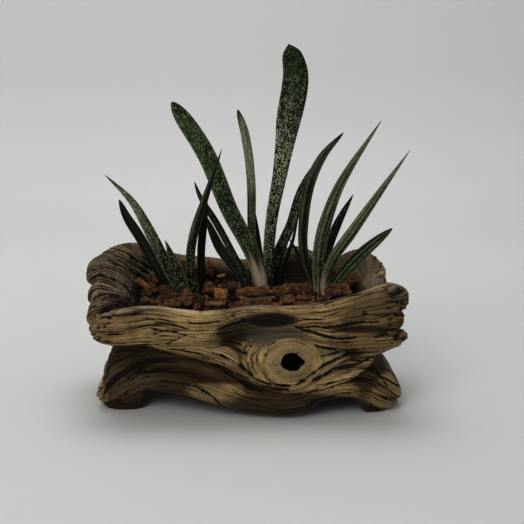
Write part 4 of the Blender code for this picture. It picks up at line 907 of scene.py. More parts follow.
def outer_reach(turn, height, bottom):
    """How far the outer skin stands out, with its rim rolled and its lower edge tucked in."""
    x, y = base_point(turn)
    normal_x, normal_y = around(turn)[2:]
    long_side = np.where(normal_y < 0, front_reach(x, height), back_reach(x, height))
    short_side = np.where(normal_x < 0, end_reach(LEFT_ENDS, LEFT_BACKGROUND, y, height),
                          end_reach(RIGHT_ENDS, RIGHT_BACKGROUND, y, height))
    reach = normal_y ** 2 * long_side + normal_x ** 2 * short_side
    corner = 4 * (normal_x * normal_y) ** 2 * (normal_y < 0)
    reach += corner * RAIL_CORNER_PUSH * smooth((height - RAIL_CORNER_BOTTOM) / RAIL_CORNER_BLEND)
    below = (height - rim_height(turn) + RIM_ROLL_DROP) / RIM_ROLL_SPREAD
    reach = soft_highest([reach, crest_reach(turn) + RIM_ROLL_REACH - below * below])
    foot = smooth(1 - bottom / FOOT_EDGE)
    left_foot = fade(x, *LEFT_FOOT) * smooth(-1.5 * normal_y)
    depth = blend(EDGE_TUCK, FOOT_TUCK + LEFT_FOOT_TUCK * left_foot, foot)
    tuck = np.maximum(0.0, 1 - (height - bottom) / blend(EDGE_TUCK_HEIGHT, FOOT_TUCK_HEIGHT, foot))
    return reach - depth * tuck * tuck


def pushed_out(turn, reach):
    """Places round the outline, moved out by a reach."""
    x, y = base_point(turn)
    normal_x, normal_y = around(turn)[2:]
    return x + reach * normal_x, y + reach * normal_y


def planter_skin(turn, row):
    """Places on the planter's skin for arrays of turns and rows."""
    places = np.zeros((len(turn), 3))

    def put(chosen, x, y, z):
        places[chosen] = np.stack(np.broadcast_arrays(x, y, z), axis=1)

    crest = rim_height(turn)
    shoulder = crest - RIM_SHOULDER
    bottom = edge_height(turn)

    chosen = row <= ROW_FLOOR
    x, y = cavity(turn[chosen], FLOOR_TOP)
    share = row[chosen] / ROW_FLOOR
    put(chosen, x * share, y * share, FLOOR_TOP)

    chosen = (row > ROW_FLOOR) & (row <= ROW_WALL)
    height = np.interp(row[chosen] - ROW_FLOOR, range(len(WALL_STOPS)), WALL_STOPS)
    x, y = cavity(turn[chosen], height)
    put(chosen, x, y, height)

    chosen = (row > ROW_WALL) & (row <= ROW_CREST)
    share = (row[chosen] - ROW_WALL) / (ROW_CREST - ROW_WALL)
    inner_x, inner_y = cavity(turn[chosen], CAVITY_LIP)
    crest_x, crest_y = pushed_out(turn[chosen], crest_reach(turn[chosen]))
    level = 0.5 * share + 0.5 * (1 - np.cos(share * math.pi / 2))
    put(chosen, blend(inner_x, crest_x, level), blend(inner_y, crest_y, level),
        blend(CAVITY_LIP, crest[chosen], np.sin(share * math.pi / 2)))

    chosen = (row > ROW_CREST) & (row <= ROW_SHOULDER)
    share = (row[chosen] - ROW_CREST) / (ROW_SHOULDER - ROW_CREST)
    reach = blend(crest_reach(turn[chosen]),
                  outer_reach(turn[chosen], shoulder[chosen], bottom[chosen]),
                  np.sin(share * math.pi / 2))
    put(chosen, *pushed_out(turn[chosen], reach),
        blend(crest[chosen], shoulder[chosen], 1 - np.cos(share * math.pi / 2)))

    chosen = (row > ROW_SHOULDER) & (row <= ROW_EDGE)
    share = (row[chosen] - ROW_SHOULDER) / (ROW_EDGE - ROW_SHOULDER)
    (top_share, top_height), (low_share, low_height) = RAIL_ROWS_TOP, RAIL_ROWS_BOTTOM
    height = np.where(share <= top_share, blend(shoulder[chosen], top_height, share / top_share),
                      np.where(share <= low_share,
                               blend(top_height, low_height,
                                     (share - top_share) / (low_share - top_share)),
                               blend(low_height, bottom[chosen],
                                     (share - low_share) / (1 - low_share))))
    put(chosen, *pushed_out(turn[chosen], outer_reach(turn[chosen], height, bottom[chosen])),
        height)

    outer_x, outer_y = pushed_out(turn, outer_reach(turn, bottom, bottom))
    inner_x, inner_y = on_rectangle(turn, **FOOT_INNER)
    chosen = (row > ROW_EDGE) & (row <= ROW_SOLE)
    share = (row[chosen] - ROW_EDGE) / (ROW_SOLE - ROW_EDGE)
    put(chosen, blend(outer_x[chosen], inner_x[chosen], share),
        blend(outer_y[chosen], inner_y[chosen], share), bottom[chosen])

    chosen = (row > ROW_SOLE) & (row <= ROW_FOOT)
    share = (row[chosen] - ROW_SOLE) / (ROW_FOOT - ROW_SOLE)
    draw = 1 - FOOT_DRAW_IN * share
    put(chosen, inner_x[chosen] * draw, inner_y[chosen] * draw,
        blend(bottom[chosen], UNDERSIDE, share))

    chosen = row > ROW_FOOT
    share = 1 - (row[chosen] - ROW_FOOT) / (ROW_LAST - ROW_FOOT)
    draw = share * (1 - FOOT_DRAW_IN)
    put(chosen, inner_x[chosen] * draw, inner_y[chosen] * draw,
        UNDERSIDE + UNDERSIDE_RISE * (1 - share * share))
    return leaned(places)


def leaned(places):
    """The back of the planter is set a little to the left."""
    places = places.copy()
    places[:, 0] -= BACK_LEAN * (places[:, 1] + POT_HALF_DEPTH)
    return places


def deselect_all():
    bpy.ops.object.select_all(action="DESELECT")


def read_places(mesh):
    places = np.empty(len(mesh.vertices) * 3)
    mesh.vertices.foreach_get("co", places)
    return places.reshape(-1, 3)


def write_places(mesh, places):
    mesh.vertices.foreach_set("co", np.ascontiguousarray(places, dtype=np.float32).ravel())
    mesh.update()


def read_normals(mesh):
    normals = np.empty(len(mesh.vertices) * 3)
    mesh.vertices.foreach_get("normal", normals)
    return normals.reshape(-1, 3)


def keep_value(mesh, name, values):
    """Store one number, a place or a colour for each vertex under a name."""
    values = np.asarray(values, dtype=np.float32)
    if values.ndim == 1:
        mesh.attributes.new(name, "FLOAT", "POINT").data.foreach_set("value", values)
    else:
        mesh.attributes.new(name, "FLOAT_VECTOR", "POINT").data.foreach_set("vector",
                                                                            values.ravel())


def point_outward(piece):
    """Turn the faces of a closed piece so that they all point out."""
    deselect_all()
    piece.select_set(True)
    bpy.context.view_layer.objects.active = piece
    bpy.ops.object.mode_set(mode="EDIT")
    bpy.ops.mesh.select_all(action="SELECT")
    bpy.ops.mesh.normals_make_consistent(inside=False)
    bpy.ops.object.mode_set(mode="OBJECT")


def round_blank(name, columns, rows):
    """A ball to be shaped: the piece, and each vertex's column and row, from top to bottom."""
    deselect_all()
    bpy.ops.mesh.primitive_uv_sphere_add(segments=columns, ring_count=rows, radius=1.0)
    piece = bpy.context.active_object
    piece.name = name
    piece.data.name = name
    places = read_places(piece.data)
    column = np.round(np.arctan2(places[:, 1], places[:, 0]) / math.tau * columns) % columns
    row = np.round(np.arccos(np.clip(places[:, 2], -1, 1)) / math.pi * rows)
    return piece, column, row


def finish_piece(piece, material, slot, *nodes):
    """Give a piece its material, let it ride, and hide the CAD nodes that it stands for."""
    piece.data.materials.clear()
    piece.data.materials.append(material)
    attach(piece, "root")
    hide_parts(*nodes)


def distance_to_line(places, points):
    """Distance from places to a broken line, and the share of the way along it."""
    nearest = np.full(len(places), np.inf)
    share = np.zeros(len(places))
    points = np.array(points, float)
    for index, (start, end) in enumerate(zip(points, points[1:])):
        run = end - start
        t = np.clip((places - start) @ run / (run @ run), 0, 1)
        away = np.linalg.norm(places - start - t[:, None] * run, axis=1)
        closer = away < nearest
        nearest = np.where(closer, away, nearest)
        share = np.where(closer, (index + t) / (len(points) - 1), share)
    return nearest, share


def grain_height(x, z):
    """Height in the grain: lines of equal value run along the logs and round the knot."""
    guides = [follow(points, x) for value, points in GRAIN_GUIDES]
    values = [value for value, points in GRAIN_GUIDES]
    grain = np.minimum(z - guides[0], 0.0)
    low = guides[0]
    for guide, value0, value1 in zip(guides[1:], values, values[1:]):
        high = np.maximum(guide, low + GUIDE_GAP)
        grain = grain + (value1 - value0) * np.clip((z - low) / (high - low), 0, 1)
        low = high
    return grain + np.maximum(z - low, 0.0)


def in_oval(x, z, middle_x, middle_z, half_x, half_z):
    """1 in the middle of an oval, falling smoothly to 0 at its edge and beyond."""
    away = np.sqrt(((x - middle_x) / half_x) ** 2 + ((z - middle_z) / half_z) ** 2)
    return fade(away, *OVAL_EDGE)


def fine_grooves(flow, size, half_width, seed):
    """1 in the middle of thin grooves that wander along the grain, 0 between them."""
    value = sized_noise(flow, size, seed)
    slope = np.abs(sized_noise(flow + (0, 0, GROOVE_STEP), size, seed) - value) / GROOVE_STEP
    away = np.abs(value) / np.maximum(slope, GROOVE_LEAST_SLOPE)
    return np.clip(LINE_CORE - away / half_width, 0, 1)


def carve_lip(places):
    """Grooves that fan over the left lip, with finer ones between them."""
    x, y, z = places.T
    near = fade(x, *LIP_INNER_END) * ramp(z, *LIP_BOTTOM)
    near = near * ramp(y, *LIP_FRONT_END) * fade(y, *LIP_BACK_END)
    chosen = np.flatnonzero(near > 0)
    spots = places[chosen]
    wander = layered_noise(spots, LIP_WANDER)
    away = np.array([distance_to_line(spots, line)[0] for line in LIP_GROOVES])
    pair = np.argmin(away[:-1] + away[1:], axis=0)
    spot_range = np.arange(len(spots))
    low, high = away[pair, spot_range], away[pair + 1, spot_range]
    level = pair + low / (low + high)
    depth = np.zeros(len(spots))
    carved = np.zeros(len(spots))
    for index, distance in enumerate(away):
        half_width, full_depth, dark = LIP_CREASE if index in LIP_CREASES else LIP_GROOVE
        line = np.clip(LINE_CORE - (distance + wander) / half_width, 0, 1)
        depth = np.maximum(depth, line * full_depth)
        carved = np.maximum(carved, line * dark)
    between = np.abs(np.mod(level * LIP_LINES_BETWEEN + 0.5 * wander + 0.5, 1) - 0.5) * 2
    shown = smooth(0.7 + sized_noise(spots, *LIP_LINE_PATCHES))
    thin = np.clip(1 - between / LIP_LINE_SHARE, 0, 1) * shown
    depth = np.maximum(depth, LIP_LINE_DEPTH * thin)
    carved = np.maximum(carved, LIP_LINE_DARK * thin)
    whole = np.zeros((3, len(places)))
    whole[:, chosen] = depth * near[chosen], carved * near[chosen], level
    whole_depth, whole_carved, whole_level = whole
    return whole_depth, whole_carved, near, whole_level


def cut_cracks(places, facing):
    """The drawn cracks: 1 in the middle of each, and their depth."""
    crack = np.zeros(len(places))
    depth = np.zeros(len(places))
    on_front = np.flatnonzero(facing > 0)
    spots = np.stack((places[:, 0], places[:, 2]), axis=1)[on_front]
    wobble = layered_noise(places[on_front], CRACK_WOBBLE)
    for points, half_width, full_depth in CRACKS:
        away, share = distance_to_line(spots, points)
        along = np.sin(np.clip(share, 0.02, 0.98) * math.pi) ** 0.5
        width = half_width * (CRACK_END_WIDTH + CRACK_SWELL * along)
        away = away + wobble * np.minimum(half_width, CRACK_MOST_WOBBLE)
        line = np.clip((1.25 * width - away) / np.minimum(width, CRACK_SHARP), 0, 1)
        line = line * facing[on_front]
        crack[on_front] = np.maximum(crack[on_front], line)
        depth[on_front] = np.maximum(depth[on_front], line * full_depth)
    return crack, depth


def wash_and_painted_shade(places, front, on_lip, over, inward, crest):
    """How dark the wash and painted shade lie: painted shade in the hollows and inside the rim,
    dark wash on the lips, and the drawn stains, partly painted shade.
    """
    x, y, z = places.T
    right_end, left_end = INNER_BACK_ENDS
    shaded_below = blend(INNER_TOP, crest - INNER_BACK_DROP,
                         ramp(y, *INNER_BACK) * fade(x, *right_end) * ramp(x, *left_end))
    layers = [
        # Painted shade in the front's hollows and inside the rim below its crest
        RECESS_PAINTED_SHADE * front * (fade(front_reach(x, z), *RECESS_REACH) * ramp(z, *RECESS_BOTTOM)),
        INNER_PAINTED_SHADE * ramp(inward, *INNER_SHADE) * fade(z, shaded_below, INNER_FADE),
        # Dark wash on the rim's right inner face and on the left lip
        RIGHT_LIP_STAIN * over * (1 - on_lip) * ramp(x, *RIGHT_LIP),
        LEFT_LIP_STAIN * on_lip * np.maximum(ramp(z, *LEFT_LIP_TOP), fade(x, *LEFT_LIP_END)),
    ]
    # Drawn ovals of dark wash, partly painted shade below the rail and the logs
    layers += [strength * front * in_oval(x, z, *spot) for *spot, strength in DARK_STAINS_AND_SHADE]
    return np.maximum.reduce(layers)


def read_surface(places, normals):
    """What kind of surface each place lies on, and where it lies in the grain."""
    x, y, z = places.T
    angle, outside = place_round(x, y)
    facing = np.maximum(fade(y, *FRONT_FACE), fade(y, *LOW_FRONT) * fade(z, *LOW_FRONT_TOP))
    front = facing * fade(normals[:, 1], *FRONT_FACING)
    turn = np.mod(angle / math.tau, 1.0)
    crest, inward = rim_height(turn), crest_reach(turn) - outside
    over = ramp(inward, *RIM_INWARD) * ramp(z, *RIM_BOTTOM)
    wander = sized_noise(places, *WANDER)

    across_front = grain_height(x, z)
    turning = 4 * facing * (1 - facing) * ramp(np.abs(across_front - z), *GRAIN_TURNS)
    grain = blend(z, across_front, facing)
    grain = blend(grain, 2 * crest - z + 0.5 * inward, over) + WANDER_REACH * wander
    face_x, face_z, face_length, face_height = KNOT_FACE
    knot_up, knot_across = (z - face_z) / face_height, (x - face_x) / face_length
    turned, knot = np.arctan2(knot_up, knot_across), np.hypot(knot_across, knot_up)
    on_knot = (front > 0.5) & (knot < blend(*KNOT_GRAIN_ENDS, fade(x, *KNOT_LEFT_SIDE)))
    angle = np.where(on_knot, KNOT_ANGLE + KNOT_ANGLE_SPREAD * turned, angle)
    grain = np.where(on_knot, KNOT_GRAIN_TOP - knot * KNOT_GRAIN_STEP + 0.4 * wander, grain)
    length = STRETCH_ENDS[-1] / math.tau
    flow = np.stack((length * np.cos(angle), length * np.sin(angle), grain), axis=1)
    return Surface(facing, front, crest, inward, over, turning, wander, grain, flow, turned, knot,
                   on_knot)


def carve_planter(places, normals):
    """Depth of the carving at each place, and what the finish needs to know about it."""
    x, y, z = places.T
    facing, front, crest, inward, over, turning, wander, grain, flow, turned, knot, on_knot = (
        read_surface(places, normals))
    lip_depth, lip_carved, on_lip, lip_level = carve_lip(places)
    lip_flow = np.stack((x, LIP_GRAIN_PLACE + 0 * x,
                         LIP_GRAIN_STEP * lip_level + WANDER_REACH * wander), axis=1)
    flow = np.where((on_lip > 0.5)[:, None], lip_flow, flow)

    still = np.where(on_knot, front * fade(knot, *KNOT_STILL), 0.0)
    still = np.maximum(still, in_oval(x, z, *SMOOTH_SPOT) * front)
    cool = front * in_oval(x, z, *COOL_SPOT) * ramp(knot, *KNOT_COOL_FROM)
    cool = cool * (1 - in_oval(x, z, *DARK_STAINS_AND_SHADE[0][:4]))
    still = np.maximum(still, 0.9 * cool)
    calm = front * in_oval(x, z, *CALM_SPOT)
    inner_face = over * (1 - on_lip)
    busy = smooth(0.6 + sized_noise(places, *BUSY))
    busy = busy * (1 - 0.9 * still) * (1 - 0.75 * calm) * (1 - turning) * (1 - 0.9 * inner_face)
    deep = fine_grooves(flow, *DEEP_GROOVES) * busy
    middle = fine_grooves(flow, *MIDDLE_GROOVES) * blend(0.2, 1.0, busy) * (1 - 0.8 * still)
    middle = middle * (1 - 0.4 * calm) * (1 - turning) * (1 - 0.8 * inner_face)
    thin = fine_grooves(flow, *THIN_GROOVES) * (1 - 0.95 * still) * (1 - 0.7 * inner_face)
    swell = sized_noise(np.stack((x, y, grain), axis=1), *SWELL)
    ridges = sized_noise(flow, *RIDGES) * (1 - still) * (1 - 0.6 * inner_face)
    ends = np.maximum(fade(x, *RAGGED_LEFT), ramp(x, *RAGGED_RIGHT)) * ramp(z, *RAGGED_BOTTOM)
    pits = np.clip(sized_noise(places, *PITS) * 3.2 - 0.4, 0, 1) * (ends * (1 - on_lip))
    crack, crack_depth = cut_cracks(places, facing * fade(normals[:, 1], *CRACK_FACING))

    plain = 1 - 0.6 * on_lip
    depth = (plain * (DEPTHS["deep"] * deep + DEPTHS["middle"] * middle + DEPTHS["thin"] * thin)
             - DEPTHS["swell"] * swell - DEPTHS["ridges"] * plain * ridges + lip_depth
             + DEPTHS["pits"] * pits + crack_depth)
    inside = 1 - (fade(z, *CAVITY_TOP) * fade(np.abs(y), *CAVITY_DEPTH)
                  * (np.abs(x) < CAVITY_HALF_LENGTH))
    depth = depth * ramp(z, *SOLE_KEPT) * inside
    carved = np.clip(np.maximum.reduce((
        DARKNESS["deep"] * plain * deep, DARKNESS["middle"] * plain * middle,
        DARKNESS["thin"] * plain * thin, DARKNESS["crack"] * crack, lip_carved,
        DARKNESS["pits"] * pits)), 0, 1)

    warm_top = WARM_TOP + WARM_RISE * smooth(x / WARM_RISE_LENGTH)
    warm = blend(LEAST_WARM, 1.0, front * fade(z, warm_top, WARM_FADE))
    warm = np.clip(warm - GREY_LEFT * fade(x, *GREY_LEFT_FROM) * front * ramp(z, *GREY_LEFT_BOTTOM)
                   + 0.25 * wander, 0, 1)
    ray_reach, ray_seed = KNOT_RAYS
    rays = noise(np.stack((ray_reach * np.cos(turned), ray_reach * np.sin(turned), knot), axis=1),
                 ray_seed)
    knot_face = front * fade(knot, *KNOT_PALE) * (1 - 0.5 * np.clip(2 * rays, 0, 1))
    return depth, {
        "carved": carved, "grain": flow, "warm": warm, "cool": cool, "lined": on_lip,
        # Dark wash and painted shade
        "stain_and_shade": wash_and_painted_shade(places, front, on_lip, over, inward, crest),
        "still": np.maximum.reduce((still, 0.35 * calm, 0.8 * turning, 0.6 * inner_face)),
        "high": np.clip(0.5 + 0.5 * swell + 0.35 * ridges - 0.8 * carved, 0, 1),
        # Painted light over the left foot
        "foot_painted_light": front * in_oval(x, z, *PAINTED_LIGHT_FOOT), "knot_face": knot_face,
    }


def knot_hole_cutter():
    """The shape of the knot's hole: an uneven drum, narrower and rougher inside."""
    deselect_all()
    bpy.ops.mesh.primitive_cylinder_add(vertices=len(HOLE_CORNERS) * 4, radius=1.0, depth=2.0,
                                        end_fill_type="NGON")
    cutter = bpy.context.active_object
    bpy.ops.object.mode_set(mode="EDIT")
    for cut in range(1, HOLE_RINGS):
        bpy.ops.mesh.select_all(action="SELECT")
        bpy.ops.mesh.bisect(plane_co=(0, 0, -1 + 2 * cut / HOLE_RINGS), plane_no=(0, 0, 1))
    bpy.ops.object.mode_set(mode="OBJECT")
    places = read_places(cutter.data)
    corners = np.array(HOLE_CORNERS)
    middle = corners.mean(axis=0)
    angle = np.mod(np.arctan2(places[:, 1], places[:, 0]), math.tau)
    corner_angle = np.mod(np.arctan2(corners[:, 1] - middle[1], corners[:, 0] - middle[0]),
                          math.tau)
    corner_reach = np.hypot(*(corners - middle).T)
    reach = np.interp(angle, *(np.array(values)[np.argsort(corner_angle)]
                               for values in (corner_angle, corner_reach)),
                      period=math.tau)
    inward = (places[:, 2] + 1) / 2
    rough = 1 + HOLE_ROUGHNESS * inward * noise(
        np.stack((3 * np.cos(angle), 3 * np.sin(angle), 5 * inward), axis=1), HOLE_SEED)
    reach = reach * blend(HOLE_MOUTH_SHARE, HOLE_TAPER, inward) * rough
    shaped = np.stack((middle[0] + reach * np.cos(angle),
                       blend(HOLE_MOUTH_Y, HOLE_BOTTOM_Y, inward),
                       middle[1] + reach * np.sin(angle)), axis=1)
    write_places(cutter.data, to_frame(shaped))
    point_outward(cutter)
    return cutter


def make_planter(material):
    """The cast planter with its logs, cracks, grain, pits and knot hole."""
    rows = FINE_ROWS[-1][0]
    piece, column, row = round_blank("planter_driftwood", FINE_COLUMNS, rows)
    coarse = np.interp(row, *np.array(FINE_ROWS, float).T)
    write_places(piece.data, to_frame(planter_skin(column / FINE_COLUMNS, coarse)))
    point_outward(piece)

    cutter = knot_hole_cutter()
    boolean = piece.modifiers.new("knot_hole", "BOOLEAN")
    boolean.operation = "DIFFERENCE"
    boolean.object = cutter
    boolean.solver = "EXACT"
    deselect_all()
    piece.select_set(True)
    bpy.context.view_layer.objects.active = piece
    bpy.ops.object.modifier_apply(modifier=boolean.name)
    bpy.data.objects.remove(cutter, do_unlink=True)

    mesh = piece.data
    places = from_frame(read_places(mesh))
    normals = read_normals(mesh)
    depth, marks = carve_planter(places, normals)
    x, y, z = places.T
    sunk = y + POT_HALF_DEPTH + front_reach(x, z)
    in_hole = ((sunk > HOLE_SUNK) & (y < HOLE_BOTTOM_Y + HOLE_BOTTOM_GAP)
               & (in_oval(x, z, *HOLE_SPOT) > HOLE_NEARNESS))
    write_places(mesh, to_frame(places - normals * np.where(in_hole, 0, depth)[:, None]))
    for name, values in marks.items():
        keep_value(mesh, name, values)
    keep_value(mesh, "hole", in_hole)
    mesh.shade_smooth()
    finish_piece(piece, material, "cast_wood", "planter")


def leaf_width(leaf, share):
    """Width of a leaf at a share of its length, as a share of its greatest width."""
    if leaf is LEAVES[TALL_LEAF]:
        return float(follow(TALL_LEAF_WIDTHS, share))
    if share < leaf.fullest:
        return blend(leaf.base, 1.0, float(smooth(share / leaf.fullest)))
    rest = (share - leaf.fullest) / (1 - leaf.fullest)
    power = TIP_POWER_SLIM if leaf.blunt < BLUNT_FROM else TIP_POWER_BLUNT
    return max(0.0, 1 - rest ** leaf.blunt) ** power


def path_point(path, share):
    """Point and direction along a smooth curve through a leaf's path points."""
    points = [Vector(point) for point in path]
    lengths = [(b - a).length for a, b in zip(points, points[1:])]
    run = share * sum(lengths)
    index = 0
    while index < len(lengths) - 1 and run > lengths[index]:
        run -= lengths[index]
        index += 1
    start, end = points[index], points[index + 1]
    before = points[index - 1] if index > 0 else start
    after = points[index + 2] if index + 2 < len(points) else end
    span = lengths[index]
    slope0 = (end - before) * (span / max(1e-6, span + (start - before).length))
    slope1 = (after - start) * (span / max(1e-6, span + (after - end).length))
    t = run / span
    place = (start * ((1 + 2 * t) * (1 - t) ** 2) + slope0 * (t * (1 - t) ** 2)
             + end * (t * t * (3 - 2 * t)) + slope1 * (t * t * (t - 1)))
    direction = (start * (6 * t * t - 6 * t) + slope0 * (1 - 4 * t + 3 * t * t)
                 + end * (6 * t - 6 * t * t) + slope1 * (3 * t * t - 2 * t))
    return place, direction.normalized()


def leaf_ring(leaf, span):
    """Middle, sideways and facing directions, half width and half thickness at a span."""
    place, direction = path_point(leaf.path, span)
    upright = float(smooth(span / LEAF_UPRIGHT_SHARE))
    direction = Vector((0, 0, 1)).lerp(direction, upright).normalized()
    turned = float(smooth(span / LEAF_TURN_SHARE))
    angle = math.radians((leaf.facing + leaf.twist * span) * turned)
    side = Vector((math.cos(angle), math.sin(angle), 0))
    side = (side - direction * side.dot(direction)).normalized()
    share = leaf_width(leaf, span)
    thickness = min(blend(LEAF_THICKNESS, LEAF_TIP_THICKNESS, span ** 1.5),
                    LEAF_THICKEST_SHARE * leaf.width)
    return Ring(place, side, direction.cross(side), leaf.width / 2 * share,
                thickness / 2 * min(1.0, share * 2.5))


def leaf_colours(look, across, span):
    """Ground colour of a leaf at places given by how far across and how far along they lie, and
    the share of its pale base there."""
    colour = np.tile(np.array(look.ground), (len(across), 1))

    def lay(tint, share):
        nonlocal colour
        colour = blend(colour, np.array(tint), np.clip(share, 0, 1)[:, None])

    lead, length = BAND_START
    from_middle = np.abs(across)
    for middle, half, tint, strength, start, end in look.bands:
        band = fade(np.abs(across - middle), half * 1.25, half * 0.5)
        band = band * smooth((span - start + lead) / length) * fade(span, end, BAND_END)
        lay(tint, band * strength)
    lay(PALE_GREEN, look.margin * ramp(from_middle, *MARGIN_START) * fade(span, *MARGIN_END))
    reach = (look.pale_base - span + 0.03 * np.cos(7 * across + 9 * look.pale_base)
             - 0.05 * across - 0.02)
    base = smooth(reach / BASE_EDGE + 0.5)
    lay(MAUVE_BASE, 0.9 * base * (1 - 0.5 * ramp(from_middle, *BASE_MIDDLE)))
    return colour, base


def make_leaf(name, number, material, slot):
    """One strap leaf, thick in the middle, with its marks laid out along it."""
    leaf = LEAVES[name]
    piece, column, row = round_blank(name + "_blade", LEAF_COLUMNS, LEAF_ROWS)
    rings = []
    spans = np.empty(LEAF_ROWS + 1)
    for index in range(LEAF_ROWS + 1):
        share = max(0.0, (1 - index / LEAF_ROWS - 1 / LEAF_ROWS) / (1 - 1 / LEAF_ROWS))
        spans[index] = 1 - (1 - share) ** RING_CROWDING
        rings.append(leaf_ring(leaf, spans[index]))
    middle, side, face = (np.array([tuple(ring[i]) for ring in rings]) for i in range(3))
    half, thick = (np.array([ring[i] for ring in rings]) for i in (3, 4))
    half *= blend(NARROW_BASES.get(name, 1.0), 1.0, smooth(spans / NARROW_BASE_REACH))
    half[[0, -1]] = 0
    thick[[0, -1]] = 0

    ring = row.astype(int)
    angle = column / LEAF_COLUMNS * math.tau
    wide, deep = np.cos(angle), np.sin(angle)
    wide = np.sign(wide) * np.abs(wide) ** LEAF_SIDE_ROUNDNESS
    deep = np.sign(deep) * np.abs(deep) ** LEAF_FACE_ROUNDNESS
    span = spans[ring]
    cup = LEAF_CUP * 2 * half[ring] * (1 - wide * wide) * np.minimum(1.0, 4 * span)
    places = (middle[ring] + side[ring] * (half[ring] * wide)[:, None]
              + face[ring] * (thick[ring] * deep - cup)[:, None])

    lengths = np.concatenate(([0], np.cumsum(np.linalg.norm(np.diff(middle, axis=0), axis=1))))
    along = lengths[-1] - lengths[ring]
    ripple = noise(np.stack((along / 9, wide * 1.5, deep + 7.0 * number), axis=1), 51)
    places += face[ring] * (LEAF_RIPPLE * ripple * np.minimum(1.0, thick[ring]))[:, None]
    write_places(piece.data, to_frame(places))
    point_outward(piece)

    look = LEAF_LOOKS[name]
    mesh = piece.data
    pattern = DOTS_FACE_STEP * (deep > 0) + DOTS_LEAF_STEP * number
    keep_value(mesh, "marks", np.stack((half[ring] * wide, along, pattern), axis=1))
    colours, base = leaf_colours(look, wide, span)
    keep_value(mesh, "ground", colours)
    keep_value(mesh, "base", base)
    dots, frost = (follow(value, span) if isinstance(value, tuple) else value
                   for value in (look.dots, look.frost))
    lead, length = DOTS_START
    dotted = smooth((span - look.pale_base + lead) / length)
    keep_value(mesh, "dots", dots * dotted + 0 * span)
    keep_value(mesh, "frost", frost + 0 * span)
    mesh.shade_smooth()
    finish_piece(piece, material, slot, name)


def make_stem(name, material):
    """A plant's short stem, ringed by the scars of old leaves, domed between the leaves."""
    x, y, half_x, half_y = STEMS[name]
    piece, column, row = round_blank(name + "_stem", STEM_COLUMNS, STEM_ROWS)
    angle = column / STEM_COLUMNS * math.tau
    wide, deep = np.cos(angle), np.sin(angle)
    oval = (np.abs(wide) ** STEM_SQUARENESS + np.abs(deep) ** STEM_SQUARENESS) ** (
        -1 / STEM_SQUARENESS)
    spread = np.clip(np.minimum(row / STEM_DOME_ROWS, (STEM_ROWS - row) / STEM_SOLE_ROWS), 0, 1)
    height = np.interp(row, (STEM_DOME_ROWS, STEM_ROWS - STEM_SOLE_ROWS),
                       (STEM_TOP - STEM_DOME, STEM_HOLE_BOTTOM + GAP))
    height = height + STEM_DOME * (1 - spread ** 2) * (row < STEM_DOME_ROWS)
    scars = SCAR_DEPTH * np.sin(height * SCAR_PACE) * (spread >= 1)
    spread = spread ** 0.8
    places = np.stack((x + wide * oval * (half_x - STEM_INSET + scars) * spread,
                       y + deep * oval * (half_y - STEM_INSET + scars) * spread, height), axis=1)
    write_places(piece.data, to_frame(places))
    point_outward(piece)
    piece.data.shade_smooth()
    finish_piece(piece, material, "stem", name)


def make_mulch_bed():
    """The bed of fine bark under the chips, painted almost black as shade."""
    piece, column, row = round_blank("mulch_bed", BED_COLUMNS, BED_ROWS)
    spread = np.clip(np.minimum(row / (BED_ROWS - BED_SOLE_ROWS - 1),
                                (BED_ROWS - row) / BED_SOLE_ROWS), 0, 1)
    on_top = row < BED_ROWS - BED_SOLE_ROWS
    height = np.where(on_top, MULCH_TOP - BED_DROP, MULCH_BOTTOM)
    x, y = cavity(column / BED_COLUMNS, height, GAP)
    places = leaned(np.stack((x * spread, y * spread, height), axis=1))
    places[:, 2] += np.where(on_top, layered_noise(places, BED_LUMPS), 0)
    write_places(piece.data, to_frame(places))
    point_outward(piece)
    # The bed lies wholly in painted shade, almost black
    for name, value in (("tone", BED_TONE), ("edge", 0.0), ("sunk", 1.0)):
        keep_value(piece.data, name, np.full(len(places), value))
    piece.data.shade_smooth()
    return piece


def chip_blank():
    """A slab with enough edges to be shaped into one flake of bark."""
    deselect_all()
    bpy.ops.mesh.primitive_cube_add(size=2.0)
    piece = bpy.context.active_object
    bpy.ops.object.mode_set(mode="EDIT")
    bpy.ops.mesh.subdivide(number_cuts=CHIP_CUTS)
    bpy.ops.object.mode_set(mode="OBJECT")
    return piece


